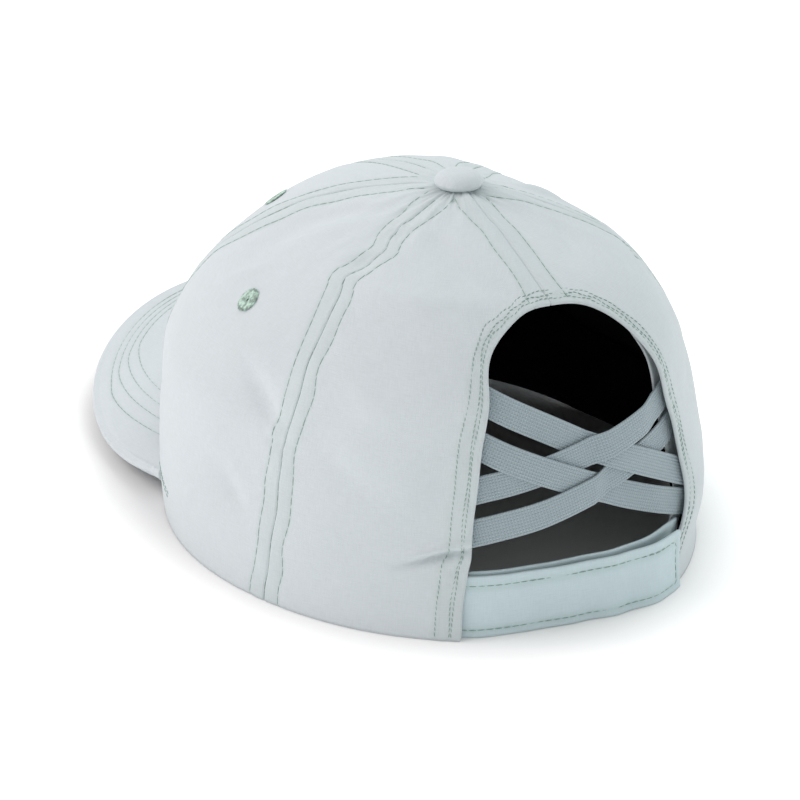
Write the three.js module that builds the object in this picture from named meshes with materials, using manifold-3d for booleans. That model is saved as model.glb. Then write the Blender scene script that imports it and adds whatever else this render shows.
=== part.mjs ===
// Ponytail baseball cap: six cloth panels round an arched opening at the back, crossed by four
// woven elastic bands, with a hook-and-loop strap below and an arched brim in front.
// Millimetres, +Z up, +X to the wearer's left, -Y forward. Angles are degrees round the crown
// from the front, level 0 is the rim and level 7 the apex.
import * as THREE from "three";
import Module from "manifold-3d";
import { mergeVertices } from "three/addons/utils/BufferGeometryUtils.js";

// Crown
const RIM_HALF_WIDTH = 86.4;
const RIM_HALF_LENGTH = 97.6;
const CROWN_HEIGHT = 110.7;
const APEX_BACK = 12.1;
const CLOTH = 1.2;
const LINING = 0.8;
const SWEATBAND = 1.6;
const SWEATBAND_TOP = 1.75;
const SWEATBAND_DROP = 0.65;
const LINING_HEM = 0.12;
const GAP = 0.3;
const FOLD_ROOM = 0.55;
const RIM_CLEAR = 3;
const TOP_LEVEL = 6.86;

// Brim
const BRIM_REACH = 102;
const BRIM_HALF_WIDTH = 83;
const BRIM_CORNER_BACK = 120;
const BRIM_WIDEST_Y = -66;
const BRIM_SIDE_ANGLE = 66;
const BRIM_SWEEP = 102;
const BRIM_CENTRE_RISE = 19;
const BRIM_ARCH = 14;
const BRIM_THICKNESS = 3.4;
const BRIM_END_TOP = 12;
const BRIM_END_LIFT = 4;
const BRIM_EDGE = 0.6;
const RIM_LIFT = 16;

// Opening, strap and bands
const OPENING_TOP = 4.94;
const OPENING_SQUARENESS = 12;
const OPENING_CORNER = 2.5;
const OPENING_SIDES = {
  left: { rim: 24, top: 18, bow: 1, tuck: 0 },
  right: { rim: 28, top: 17.5, bow: 2, tuck: 9.5 },
};
const FACING_WIDTH = 12;
const FACING = 0.8;
const BAND_WIDTH = 8.4;
const BAND = 0.75;
const BAND_TUCK = 5;
const BAND_PULL = 2.2;
const STRAP = 1.2;
const STRAP_TOP = 1.1;

// Button and eyelets
const BUTTON_RADIUS = 7.6;
const BUTTON_HEIGHT = 4.6;
const BUTTON_STEM = 2.2;
const EYELET_RADIUS = 4.2;
const EYELET_HEIGHT = 0.6;
const EYELET_BARREL = 1.9;
const EYELET_HOLE = 1;

// Height of each level, and how far out the crown stands there on four lines from rim to apex,
// as shares of the crown's height and of the rim
const SECTIONS = [
  { height: 0, front: 1, frontSide: 1, backSide: 1, back: 1 },
  { height: 0.15, front: 1.019, frontSide: 1.014, backSide: 0.971, back: 0.975 },
  { height: 0.32, front: 1.019, frontSide: 1.003, backSide: 0.913, back: 0.952 },
  { height: 0.5, front: 0.976, frontSide: 0.97, backSide: 0.86, back: 0.93 },
  { height: 0.68, front: 0.86, frontSide: 0.832, backSide: 0.769, back: 0.861 },
  { height: 0.84, front: 0.689, frontSide: 0.566, backSide: 0.572, back: 0.637 },
  { height: 0.955, front: 0.398, frontSide: 0.277, backSide: 0.247, back: 0.231 },
  { height: 1, front: 0, frontSide: 0, backSide: 0, back: 0 },
];

// Dents and bulges of the cloth: centre, spread in degrees and levels, depth outwards
const DENTS = [
  { angle: 238, level: 0, span: 32, reach: 1, depth: -7.1 },
  { angle: 85, level: 0, span: 25, reach: 0.8, depth: 1.1 },
  { angle: 213, level: 1.7, span: 9, reach: 0.85, depth: 3 },
  { angle: 214, level: 0.5, span: 11, reach: 0.7, depth: -0.9 },
  { angle: 62, level: 5, span: 12, reach: 0.5, depth: -1.6 },
  { angle: 115, level: 5.3, span: 7, reach: 0.35, depth: -1.5 },
  { angle: 106, level: 3.2, span: 7, reach: 0.4, depth: -1.2 },
  { angle: 101, level: 1.6, span: 9, reach: 0.5, depth: -1.2 },
  { angle: 352, level: 6.15, span: 30, reach: 0.5, depth: -1.4 },
  { angle: 5, level: 5.35, span: 16, reach: 0.35, depth: 1.2 },
];

// Seams between the panels: the angle at the rim and above the shoulder, on each side
const SEAMS = {
  front: { rim: 0, crown: 0 },
  frontSide: { rim: 55, crown: 43.5 },
  backSide: { rim: 116, crown: 116 },
  back: { rim: 180, crown: 180 },
};
const SEAM_SHOULDER = 4;

// Elastic bands: level where each leaves the left and the right hem, and how far it stands out
// at each of the angles as it passes over and under the others
const WEAVE_ANGLES = [158, 162, 173, 182, 187, 195, 201, 207];
const BANDS = [
  { name: "elastic_band_1", left: 3.8, right: 2.02, weave: [0, -0.2, -1.75, -1.75, 0.55, 0.55, 0.55, 0.55] },
  { name: "elastic_band_2", left: 3.14, right: 1.47, weave: [0, 0.55, 0.55, 0.55, -1.75, -1.75, -0.2, 0] },
  { name: "elastic_band_3", left: 2.48, right: 3.2, weave: [0, -0.55, -0.55, -0.55, 1.75, 1.75, 0.2, 0] },
  { name: "elastic_band_4", left: 1.82, right: 2.68, weave: [0, 0.2, 1.75, 1.75, -0.55, -0.55, -0.55, -0.55] },
];

// Strap and the tab under it: how far the middle of each lies inside the crown's surface
const CLOSURE_PATH = [
  { angle: 150, strap: 2.7, tab: 4.4 },
  { angle: 157, strap: 2.7, tab: 4.4 },
  { angle: 172, strap: 5.2, tab: 7.1 },
  { angle: 180, strap: 4.6, tab: 7.1 },
  { angle: 188, strap: 2, tab: 4.6 },
  { angle: 196, strap: -1, tab: 2.9 },
  { angle: 212, strap: -1.4, tab: 2.9 },
];
const STRAP_TO = 202.5;
const TAB_FROM = 157.5;
const TAB_TO = 205.5;
const FASTENER_FROM = 178;
const FASTENER_TO = 190;

const EYELETS = [
  { name: "eyelet_front_left", angle: 29, level: 4.85 },
  { name: "eyelet_front_right", angle: -29, level: 4.85 },
  { name: "eyelet_side_left", angle: 84.5, level: 4.22 },
  { name: "eyelet_side_right", angle: -84.5, level: 4.22 },
];

const wasm = await Module();
wasm.setup();
const RADIAN = Math.PI / 180;
const LEVELS = SECTIONS.length - 1;

// Smooth curve through the rows of one column of the sections; mirror is 1 where the column
// levels off at the apex and -1 where it crosses the axis there
function along(column, level, mirror) {
  const value = (row) => {
    if (row < 0) return 2 * SECTIONS[0][column] - SECTIONS[1][column];
    if (row > LEVELS) return SECTIONS[2 * LEVELS - row][column] * mirror;
    return SECTIONS[row][column];
  };
  const row = Math.min(Math.max(Math.floor(level), 0), LEVELS - 1);
  const f = level - row;
  const [a, b, c, d] = [value(row - 1), value(row), value(row + 1), value(row + 2)];
  return (2 * b + (c - a) * f + (2 * a - 5 * b + 4 * c - d) * f * f
    + (3 * b - a - 3 * c + d) * f * f * f) / 2;
}

// Share of the rim's radius at any angle, through the four columns of the sections
function crownShare(angle, level) {
  const turn = angle * RADIAN;
  const front = along("front", level, -1);
  const frontSide = along("frontSide", level, -1);
  const backSide = along("backSide", level, -1);
  const back = along("back", level, -1);
  return (front + 2 * frontSide + 2 * backSide + back) / 6
    + (front + frontSide - backSide - back) / 3 * Math.cos(turn)
    + (front - frontSide - backSide + back) / 3 * Math.cos(2 * turn)
    + (front - 2 * frontSide + 2 * backSide - back) / 6 * Math.cos(3 * turn);
}

function rimRadius(angle) {
  const turn = angle * RADIAN;
  return 1 / Math.hypot(Math.sin(turn) / RIM_HALF_WIDTH, Math.cos(turn) / RIM_HALF_LENGTH);
}

// Point on the crown's outer surface
function crownPoint(angle, level) {
  const turn = angle * RADIAN;
  const share = crownShare(angle, level);
  let radius = share * rimRadius(angle);
  for (const dent of DENTS) {
    const away = ((((angle - dent.angle + 180) % 360) + 360) % 360 - 180) / dent.span;
    const above = (level - dent.level) / dent.reach;
    radius += dent.depth * Math.exp(-away * away - above * above);
  }
  return new THREE.Vector3(
    radius * Math.sin(turn),
    APEX_BACK * (1 - share) - radius * Math.cos(turn),
    CROWN_HEIGHT * along("height", level, 1),
  );
}

// Outward direction of the surface, level with the floor at the rim so that the edge stands flat
function crownNormal(angle, level) {
  const step = 0.01;
  const at = Math.min(Math.max(level, step), TOP_LEVEL);
  const round = crownPoint(angle + step, at).sub(crownPoint(angle - step, at));
  const up = crownPoint(angle, at + step).sub(crownPoint(angle, at - step));
  const normal = round.cross(up).normalize();
  normal.z *= Math.min(level / 0.5, 1);
  return normal.normalize();
}

// Point a given depth inside the outer surface
function inside(angle, level, inset) {
  return crownPoint(angle, level).addScaledVector(crownNormal(angle, level), -inset);
}

// Degrees round the crown that measure one length at a place
function degrees(length, angle, level) {
  return length / crownPoint(angle, level).distanceTo(crownPoint(angle + 1, level));
}

// Level of the crown's lower edge, which rises over the brim
function lowerEdge(angle) {
  const away = Math.abs(((angle + 180) % 360 + 360) % 360 - 180) / BRIM_SIDE_ANGLE;
  const lift = away < 1 ? RIM_LIFT * (1 - away * away) : 0;
  return lift / (SECTIONS[1].height * CROWN_HEIGHT);
}

function raised(angle, level, top) {
  return level + lowerEdge(angle) * (1 - level / top);
}

function seamAngle(seam, level) {
  const share = Math.min(level / SEAM_SHOULDER, 1);
  return seam.rim + (seam.crown - seam.rim) * share * (2 - share);
}

// A block bent into a piece: place turns shares across, up and through it into a point
function bend(columns, rows, place) {
  let geometry = new THREE.BoxGeometry(1, 1, 1, columns, rows, 1);
  geometry.deleteAttribute("normal");
  geometry.deleteAttribute("uv");
  geometry = mergeVertices(geometry);
  const position = geometry.attributes.position;
  for (let i = 0; i < position.count; i += 1) {
    const point = place(position.getX(i) + 0.5, position.getY(i) + 0.5, position.getZ(i) + 0.5);
    position.setXYZ(i, point.x, point.y, point.z);
  }
  return geometry;
}

function toSolid(geometry) {
  const loose = geometry.clone();
  loose.deleteAttribute("normal");
  loose.deleteAttribute("uv");
  const merged = mergeVertices(loose);
  return new wasm.Manifold(new wasm.Mesh({
    numProp: 3,
    vertProperties: new Float32Array(merged.attributes.position.array),
    triVerts: new Uint32Array(merged.index.array),
  }));
}

function cut(geometry, tools) {
  let solid = toSolid(geometry);
  for (const tool of tools) solid = solid.subtract(toSolid(tool));
  const mesh = solid.getMesh();
  const result = new THREE.BufferGeometry();
  result.setAttribute("position", new THREE.BufferAttribute(mesh.vertProperties, 3));
  result.setIndex(new THREE.BufferAttribute(mesh.triVerts, 1));
  return result;
}

// Half angle of the opening at a share of its height, grown outwards by a margin
function openingHalf(side, share, margin) {
  const tuck = side.tuck * Math.exp(-((share * OPENING_TOP) ** 2));
  const straight = side.rim + (side.top - side.rim) * share ** side.bow - tuck;
  const corner = (1 - share ** OPENING_SQUARENESS) ** (1 / OPENING_CORNER);
  const grown = margin / rimRadius(180) / RADIAN;
  return (straight + grown) * corner;
}

function openingTop(margin) {
  return OPENING_TOP + margin / (CROWN_HEIGHT * (SECTIONS[5].height - SECTIONS[4].height));
}

// Rows up the opening: even up its sides, then closer together round its top corners
function openingShare(row) {
  const sides = 0.8;
  if (row <= 0.4) return sides * row / 0.4;
  const from = Math.asin(sides ** (OPENING_SQUARENESS / 2));
  const turn = from + (Math.PI / 2 - from) * (row - 0.4) / 0.6;
  return Math.sin(turn) ** (2 / OPENING_SQUARENESS);
}

// Solid that fills the opening through the wall of the crown, for cutting it out
function openingTool(margin) {
  const through = 14;
  const top = openingTop(margin);
  return bend(6, 20, (across, row, out) => {
    const share = Math.min(openingShare(row), 0.9999);
    const left = openingHalf(OPENING_SIDES.left, share, margin);
    const right = openingHalf(OPENING_SIDES.right, share, margin);
    const angle = 180 - left + (left + right) * across;
    const level = top * share;
    const point = inside(angle, level, through * (0.5 - out));
    if (row === 0) point.z -= RIM_CLEAR;
    return point;
  });
}

// Cylinder along the outward direction of the crown at an eyelet
function eyeletTool(eyelet, radius) {
  const tool = new THREE.CylinderGeometry(radius, radius, 16, 16);
  return eyeletPlaced(eyelet, tool);
}

function eyeletPlaced(eyelet, geometry) {
  const normal = crownNormal(eyelet.angle, eyelet.level);
  const turn = new THREE.Quaternion().setFromUnitVectors(new THREE.Vector3(0, 1, 0), normal);
  geometry.applyQuaternion(turn);
  const at = crownPoint(eyelet.angle, eyelet.level);
  geometry.translate(at.x, at.y, at.z);
  return geometry;
}

const COLOURS = {
  cloth: { color: 0xd5dadb, roughness: 0.85 },
  lining: { color: 0x101112, roughness: 0.95 },
  elastic: { color: 0x8c999f, roughness: 0.8 },
  thread: { color: 0xa9bdb6, roughness: 0.7 },
};
const cap = new THREE.Group();

function add(name, geometry, look) {
  const material = new THREE.MeshStandardMaterial({ ...COLOURS[look], metalness: 0 });
  const mesh = new THREE.Mesh(geometry, material);
  mesh.name = name;
  cap.add(mesh);
}

// Panels: from seam to seam, half a gap short of each
const PANELS = [
  { name: "panel_front_left", from: "front", to: "frontSide", side: 1 },
  { name: "panel_side_left", from: "frontSide", to: "backSide", side: 1 },
  { name: "panel_back_left", from: "backSide", to: "back", side: 1 },
  { name: "panel_front_right", from: "front", to: "frontSide", side: -1 },
  { name: "panel_side_right", from: "frontSide", to: "backSide", side: -1 },
  { name: "panel_back_right", from: "backSide", to: "back", side: -1 },
];
const ROWS = 14;
const PANEL_COLUMNS = 8;

// Level of a row, closer together over the top where the crown turns in
function rowLevel(row, top) {
  return top * (row + 0.08 * Math.sin(2 * Math.PI * row) / Math.PI);
}

function panelGeometry(panel) {
  return bend(PANEL_COLUMNS, ROWS, (across, row, out) => {
    const level = rowLevel(row, TOP_LEVEL);
    const ends = [seamAngle(SEAMS[panel.from], level), seamAngle(SEAMS[panel.to], level)];
    const [first, last] = panel.side > 0 ? ends : [-ends[1], -ends[0]];
    const half = GAP / 2;
    const low = first + degrees(half, first, level);
    const high = last - degrees(half, last, level);
    const angle = low + (high - low) * across;
    return inside(angle, raised(angle, level, TOP_LEVEL), CLOTH * (1 - out));
  });
}

function eyeletHoles(radius) {
  return EYELETS.map((eyelet) => eyeletTool(eyelet, radius));
}

for (const panel of PANELS) {
  const tools = panel.to === "back" ? [openingTool(0)] : eyeletHoles(EYELET_BARREL + GAP);
  add(panel.name, cut(panelGeometry(panel), tools), "cloth");
}

// Lining: one dark shell inside the panels, its ends meeting at the back above the opening
const LINING_INSET = CLOTH + FOLD_ROOM;
const lining = bend(6 * PANEL_COLUMNS, ROWS, (across, row, out) => {
  const at = (share) => {
    const level = rowLevel(share, TOP_LEVEL);
    const half = degrees(GAP / 2, 180, level);
    const panels = [-180, -seamAngle(SEAMS.backSide, level), -seamAngle(SEAMS.frontSide, level), 0,
      seamAngle(SEAMS.frontSide, level), seamAngle(SEAMS.backSide, level), 180];
    const place = Math.min(Math.floor(across * 6 + 1e-6), 5);
    const angle = panels[place] + (panels[place + 1] - panels[place]) * (across * 6 - place);
    const kept = Math.min(Math.max(angle, -180 + half), 180 - half);
    return inside(kept, raised(kept, level, TOP_LEVEL), LINING_INSET + LINING * (1 - out));
  };
  return row === 0 ? at(0).lerp(at(1 / ROWS), LINING_HEM) : at(row);
});
const liningTools = [openingTool(FACING_WIDTH + 1), ...eyeletHoles(EYELET_BARREL + GAP)];
add("lining", cut(lining, liningTools), "lining");

// Sweatband: round the inside of the rim as far as the opening's facing, hanging a little below
// the lifted edge in front
const SWEATBAND_INSET = LINING_INSET + LINING + 2 * FOLD_ROOM;
const sweatband = bend(36, 3, (across, row, out) => {
  const grown = (FACING_WIDTH + 2) / rimRadius(180) / RADIAN;
  const first = -180 + OPENING_SIDES.right.rim + grown;
  const last = 180 - OPENING_SIDES.left.rim - grown;
  const angle = first + (last - first) * across;
  const low = lowerEdge(angle) * (1 - SWEATBAND_DROP);
  const top = SWEATBAND_TOP + lowerEdge(angle) * 0.7;
  const level = low + (top - low) * row;
  return inside(angle, level, SWEATBAND_INSET + SWEATBAND * (1 - out));
});
add("sweatband", sweatband, "lining");

// Facing: cloth strip along the inside of the opening's edge, behind the ends of the bands and
// close under the cloth above them
const BAND_INSET = CLOTH + 2.3 * FOLD_ROOM + BAND / 2;
const FACING_INSET = CLOTH + 3.3 * FOLD_ROOM + STRAP;
const FACING_TOP_INSET = CLOTH + 2.5 * FOLD_ROOM;
const FACING_RISE = { from: 4.15, to: 4.75 };
const facing = bend(28, 1, (along, across, out) => {
  const margin = 0.6 + (FACING_WIDTH - 0.6) * (1 - across);
  const half = along < 0.5 ? OPENING_SIDES.right : OPENING_SIDES.left;
  const share = Math.min(openingShare(1 - Math.abs(2 * along - 1)), 0.9999);
  const sign = along < 0.5 ? 1 : -1;
  const angle = 180 + sign * (along === 0.5 ? 0 : openingHalf(half, share, margin));
  const level = Math.max(openingTop(margin) * share, LINING_HEM);
  const tight = THREE.MathUtils.smoothstep(level, FACING_RISE.from, FACING_RISE.to);
  const inset = FACING_INSET + (FACING_TOP_INSET - FACING_INSET) * tight;
  return inside(angle, level, inset + FACING * (1 - out));
});
add("opening_facing", facing, "cloth");

// Woven elastic bands, from under one hem to under the other
function weaveAt(band, angle) {
  const last = WEAVE_ANGLES.length - 1;
  let i = 0;
  while (i < last - 1 && WEAVE_ANGLES[i + 1] < angle) i += 1;
  const span = WEAVE_ANGLES[i + 1] - WEAVE_ANGLES[i];
  const part = Math.min(Math.max((angle - WEAVE_ANGLES[i]) / span, 0), 1);
  return band.weave[i] + (band.weave[i + 1] - band.weave[i]) * part * part * (3 - 2 * part);
}

function bandMiddle(band, share) {
  const left = 180 - openingHalf(OPENING_SIDES.left, band.left / OPENING_TOP, 0);
  const right = 180 + openingHalf(OPENING_SIDES.right, band.right / OPENING_TOP, 0);
  return { angle: left + (right - left) * share, level: band.left + (band.right - band.left) * share };
}

function bandGeometry(band) {
  const reach = BAND_TUCK / (2 * RIM_HALF_WIDTH * Math.sin(OPENING_SIDES.left.rim * RADIAN));
  return bend(34, 1, (across, row, out) => {
    const share = -reach + (1 + 2 * reach) * across;
    const at = bandMiddle(band, share);
    const next = bandMiddle(band, share + 0.01);
    const here = inside(at.angle, at.level, BAND_INSET);
    const ahead = inside(next.angle, next.level, BAND_INSET);
    const normal = crownNormal(at.angle, at.level);
    const side = normal.clone().cross(ahead.sub(here)).normalize();
    const point = here.addScaledVector(side, BAND_WIDTH * (row - 0.5));
    const angle = (Math.atan2(point.x, -point.y) / RADIAN + 360) % 360;
    const open = (angle - WEAVE_ANGLES[0]) / (WEAVE_ANGLES[WEAVE_ANGLES.length - 1] - WEAVE_ANGLES[0]);
    const pull = BAND_PULL * Math.sin(Math.PI * Math.min(Math.max(open, 0), 1)) ** 2;
    return point.addScaledVector(normal, weaveAt(band, angle) - pull + BAND * (out - 0.5));
  });
}

for (const band of BANDS) add(band.name, bandGeometry(band), "elastic");

// Closure: strap sewn under the left panel, over the right one, its tab and its fastener
function closureInset(column, angle) {
  let i = 0;
  while (i < CLOSURE_PATH.length - 2 && CLOSURE_PATH[i + 1].angle < angle) i += 1;
  const [a, b] = [CLOSURE_PATH[i], CLOSURE_PATH[i + 1]];
  const part = Math.min(Math.max((angle - a.angle) / (b.angle - a.angle), 0), 1);
  return a[column] + (b[column] - a[column]) * part * part * (3 - 2 * part);
}

function rimStrip(columns, from, to, bottom, top, outer, inner) {
  return bend(columns, 2, (across, row, out) => {
    const angle = from + (to - from) * across;
    const level = bottom + (top - bottom) * row;
    return inside(angle, level, inner(angle) + (outer(angle) - inner(angle)) * out);
  });
}

const strapAt = (side) => (angle) => closureInset("strap", angle) + side * STRAP / 2;
const tabAt = (side) => (angle) => closureInset("tab", angle) + side * STRAP / 2;
const strapFrom = CLOSURE_PATH[0].angle;
add("closure_strap", rimStrip(26, strapFrom, STRAP_TO, 0, STRAP_TOP, strapAt(-1), strapAt(1)), "cloth");
add("closure_tab", rimStrip(20, TAB_FROM, TAB_TO, LINING_HEM, STRAP_TOP + 0.05, tabAt(-1), tabAt(1)), "cloth");
add("closure_fastener", rimStrip(10, FASTENER_FROM, FASTENER_TO, 0.15, STRAP_TOP - 0.15,
  (angle) => strapAt(1)(angle) + GAP, (angle) => tabAt(-1)(angle) - GAP), "cloth");

// Brim: from the crown's lower edge to its outline, arched across, its ends deeper where the
// under layer runs down to the rim
const brim = bend(32, 5, (across, inward, up) => {
  const angle = BRIM_SIDE_ANGLE * (2 * across - 1);
  const sweep = BRIM_SWEEP * (2 * across - 1);
  const turn = sweep * RADIAN;
  const reach = Math.abs(sweep) > 90 ? BRIM_CORNER_BACK : BRIM_REACH;
  const edge = new THREE.Vector2(BRIM_HALF_WIDTH * Math.sin(turn), BRIM_WIDEST_Y - reach * Math.cos(turn));
  const step = SECTIONS[1].height * CROWN_HEIGHT;
  const low = lowerEdge(angle) + 2 * GAP / step + 0.06;
  const rise = Math.max(BRIM_THICKNESS, BRIM_END_TOP - low * step);
  const root = inside(angle, low + (rise / step) * up, -GAP - 0.15);
  const x = edge.x + (root.x - edge.x) * inward;
  const y = edge.y + (root.y - edge.y) * inward;
  const lift = BRIM_END_LIFT * Math.max(Math.abs(sweep) - 80, 0) / (BRIM_SWEEP - 80);
  const arch = BRIM_CENTRE_RISE - BRIM_ARCH * (x / BRIM_HALF_WIDTH) ** 2 + lift;
  const thickness = BRIM_THICKNESS * (inward === 0 ? BRIM_EDGE : 1);
  const level = arch + thickness * (up - 0.5);
  return new THREE.Vector3(x, y, level + (root.z - level) * inward * inward);
});
add("brim", brim, "cloth");

// Button: cloth-covered dome whose stem closes the hole where the panels meet
const apex = crownPoint(0, LEVELS);
const dome = [];
const DOME_STEPS = 6;
dome.push(new THREE.Vector2(0, -CLOTH - LINING - 2 * GAP));
dome.push(new THREE.Vector2(BUTTON_STEM, -CLOTH - LINING - 2 * GAP));
dome.push(new THREE.Vector2(BUTTON_STEM, GAP));
for (let i = 0; i <= DOME_STEPS; i += 1) {
  const turn = (i / DOME_STEPS) * Math.PI / 2;
  dome.push(new THREE.Vector2(BUTTON_RADIUS * Math.cos(turn) ** 0.8,
    GAP + 0.6 + (BUTTON_HEIGHT - 0.6) * Math.sin(turn)));
}
dome.splice(3, 0, new THREE.Vector2(BUTTON_RADIUS - 0.4, GAP));
dome[dome.length - 1].x = 0;
const button = new THREE.LatheGeometry(dome, 18);
button.rotateX(Math.PI / 2);
button.translate(apex.x, apex.y, apex.z);
add("top_button", button, "cloth");

// Eyelets: sewn rings over small holes through the cloth
for (const eyelet of EYELETS) {
  const barrelEnd = -CLOTH - GAP - LINING - GAP;
  const ring = new THREE.LatheGeometry([
    new THREE.Vector2(EYELET_HOLE, barrelEnd),
    new THREE.Vector2(EYELET_BARREL, barrelEnd),
    new THREE.Vector2(EYELET_BARREL, GAP),
    new THREE.Vector2(EYELET_RADIUS, GAP),
    new THREE.Vector2(EYELET_RADIUS - 0.3, GAP + EYELET_HEIGHT),
    new THREE.Vector2(EYELET_HOLE + 0.4, GAP + EYELET_HEIGHT),
    new THREE.Vector2(EYELET_HOLE, barrelEnd),
  ], 14);
  add(eyelet.name, eyeletPlaced(eyelet, ring), "thread");
}

// The origin is under the middle of the cap, on the surface that it stands on
const box = new THREE.Box3().setFromObject(cap);
const centre = box.getCenter(new THREE.Vector3());
cap.position.set(-centre.x, -centre.y, -box.min.z);
cap.updateMatrixWorld(true);

export default cap;
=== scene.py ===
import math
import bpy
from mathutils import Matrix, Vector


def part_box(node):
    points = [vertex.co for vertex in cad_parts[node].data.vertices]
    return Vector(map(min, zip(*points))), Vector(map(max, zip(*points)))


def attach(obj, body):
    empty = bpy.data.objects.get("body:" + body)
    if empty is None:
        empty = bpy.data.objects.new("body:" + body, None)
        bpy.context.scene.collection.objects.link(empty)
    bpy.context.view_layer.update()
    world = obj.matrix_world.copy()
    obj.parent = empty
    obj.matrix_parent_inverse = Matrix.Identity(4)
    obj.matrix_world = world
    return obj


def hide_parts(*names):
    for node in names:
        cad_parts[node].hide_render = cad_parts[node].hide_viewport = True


bl_info = {
    "name": "Ponytail cap",
    "version": (1, 0, 0),
    "blender": (4, 5, 0),
    "location": "3D View > Sidebar > Ponytail cap",
    "description": "Cloth, seams, elastic bands and stitching of a baseball cap with an open back",
    "category": "Object",
}

import bpy
import numpy as np
from mathutils import Vector

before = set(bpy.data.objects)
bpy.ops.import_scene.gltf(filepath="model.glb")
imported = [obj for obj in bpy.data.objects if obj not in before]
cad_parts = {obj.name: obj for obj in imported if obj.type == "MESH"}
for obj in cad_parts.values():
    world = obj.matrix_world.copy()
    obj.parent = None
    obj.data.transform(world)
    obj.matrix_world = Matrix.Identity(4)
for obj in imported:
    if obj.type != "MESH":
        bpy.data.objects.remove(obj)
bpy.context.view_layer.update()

MM = 0.001
RADIAN = math.pi / 180


def table(columns, *rows):
    """Rows of values as dictionaries, by the names of their columns."""
    return [dict(zip(columns.split(), row)) for row in rows]


# Sizes of the cap's solids as in the part's source: millimetres, and degrees round the crown
# for what runs from or to somewhere. A level counts the rows of SECTIONS up from the rim
RIM_HALF_WIDTH = 86.4
RIM_HALF_LENGTH = 97.6
CROWN_HEIGHT = 110.7
APEX_BACK = 12.1
CLOTH = 1.2
LINING = 0.8
SWEATBAND = 1.6
SWEATBAND_TOP = 1.75
SWEATBAND_DROP = 0.65
LINING_HEM = 0.12
GAP = 0.3
FOLD_ROOM = 0.55
TOP_LEVEL = 6.86
BRIM_REACH = 102
BRIM_HALF_WIDTH = 84
BRIM_CORNER_BACK = 120
BRIM_WIDEST_Y = -66
BRIM_SIDE_ANGLE = 66
BRIM_SWEEP = 102
BRIM_CENTRE_RISE = 19
BRIM_ARCH = 14
BRIM_THICKNESS = 3.4
BRIM_END_TOP = 12
BRIM_END_LIFT = 4
BRIM_LIFT_FROM = 80
BRIM_UNDER = 0.045
RIM_LIFT = 16
OPENING_TOP = 4.94
OPENING_SQUARENESS = 12
OPENING_CORNER = 2.5
OPENING_SIDES = {
    "left": {"rim": 24, "top": 18, "bow": 1, "tuck": 0},
    "right": {"rim": 28, "top": 17.5, "bow": 2, "tuck": 9.5},
}
FACING_WIDTH = 12
FACING = 0.8
BAND_WIDTH = 8.4
BAND = 0.75
BAND_TUCK = 5
BAND_PULL = 2.2
STRAP = 1.2
STRAP_TOP = 1.1
STRAP_FROM = 150
STRAP_TO = 202.5
TAB_FROM = 157.5
TAB_TO = 205.5
FASTENER_FROM = 178
FASTENER_TO = 190
BUTTON_RADIUS = 7.6
BUTTON_HEIGHT = 4.6
BUTTON_STEM = 2.2
EYELET_RADIUS = 4.2
EYELET_BARREL = 1.9
EYELET_HOLE = 1

# How far the facing lies inside the crown, beside the strap and over the opening
FACING_DEEP = CLOTH + 3.3 * FOLD_ROOM + STRAP
FACING_TIGHT = CLOTH + 2.5 * FOLD_ROOM

# Sizes of the folds and the sewing in millimetres, which the solids don't have
WAVE_DEPTH = 0.62
RIPPLE_DEPTH = 0.1
FOLD_DEPTH = 1.35
THREAD_LIFT = 0.05
STRAP_ROWS = 2.3
FACING_STITCH = 2.1
FACING_TOP_STITCH = 1.4
EYELET_CUT = 1.35
EYELET_THREAD_FROM = 0.55
EYELET_THREAD_LIFT = 0.32

# How finely the meshes and rows of stitches are laid out
PANEL_COLUMNS = 96
PANEL_ROWS = 130
OPENING_POINTS = 161
FACING_POINTS = 241
HEM_POINTS = 401
SEAM_POINTS = 260
STRAP_POINTS = 300
BAND_STATIONS = 170
BAND_POINTS = 110
BUTTON_POINTS = 72

# Height of each level and how far out the crown stands there on four lines from rim to apex
SECTIONS = table(
    "height front front_side back_side back",
    (0, 1, 1, 1, 1),
    (0.15, 1.019, 1.014, 0.971, 0.975),
    (0.32, 1.019, 1.003, 0.913, 0.952),
    (0.5, 0.976, 0.97, 0.86, 0.93),
    (0.68, 0.86, 0.832, 0.769, 0.861),
    (0.84, 0.689, 0.566, 0.572, 0.637),
    (0.955, 0.398, 0.277, 0.247, 0.231),
    (1, 0, 0, 0, 0),
)
LEVELS = len(SECTIONS) - 1
STEP_HEIGHT = SECTIONS[1]["height"] * CROWN_HEIGHT

# Dents and bulges that the solids have too
DENTS = table(
    "angle level span reach depth",
    (238, 0, 32, 1, -7.1),
    (85, 0, 25, 0.8, 1.1),
    (213, 1.7, 9, 0.85, 3),
    (214, 0.5, 11, 0.7, -0.9),
    (62, 5, 12, 0.5, -1.6),
    (115, 5.3, 7, 0.35, -1.5),
    (106, 3.2, 7, 0.4, -1.2),
    (101, 1.6, 9, 0.5, -1.2),
    (352, 6.15, 30, 0.5, -1.4),
    (5, 5.35, 16, 0.35, 1.2),
)

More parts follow.
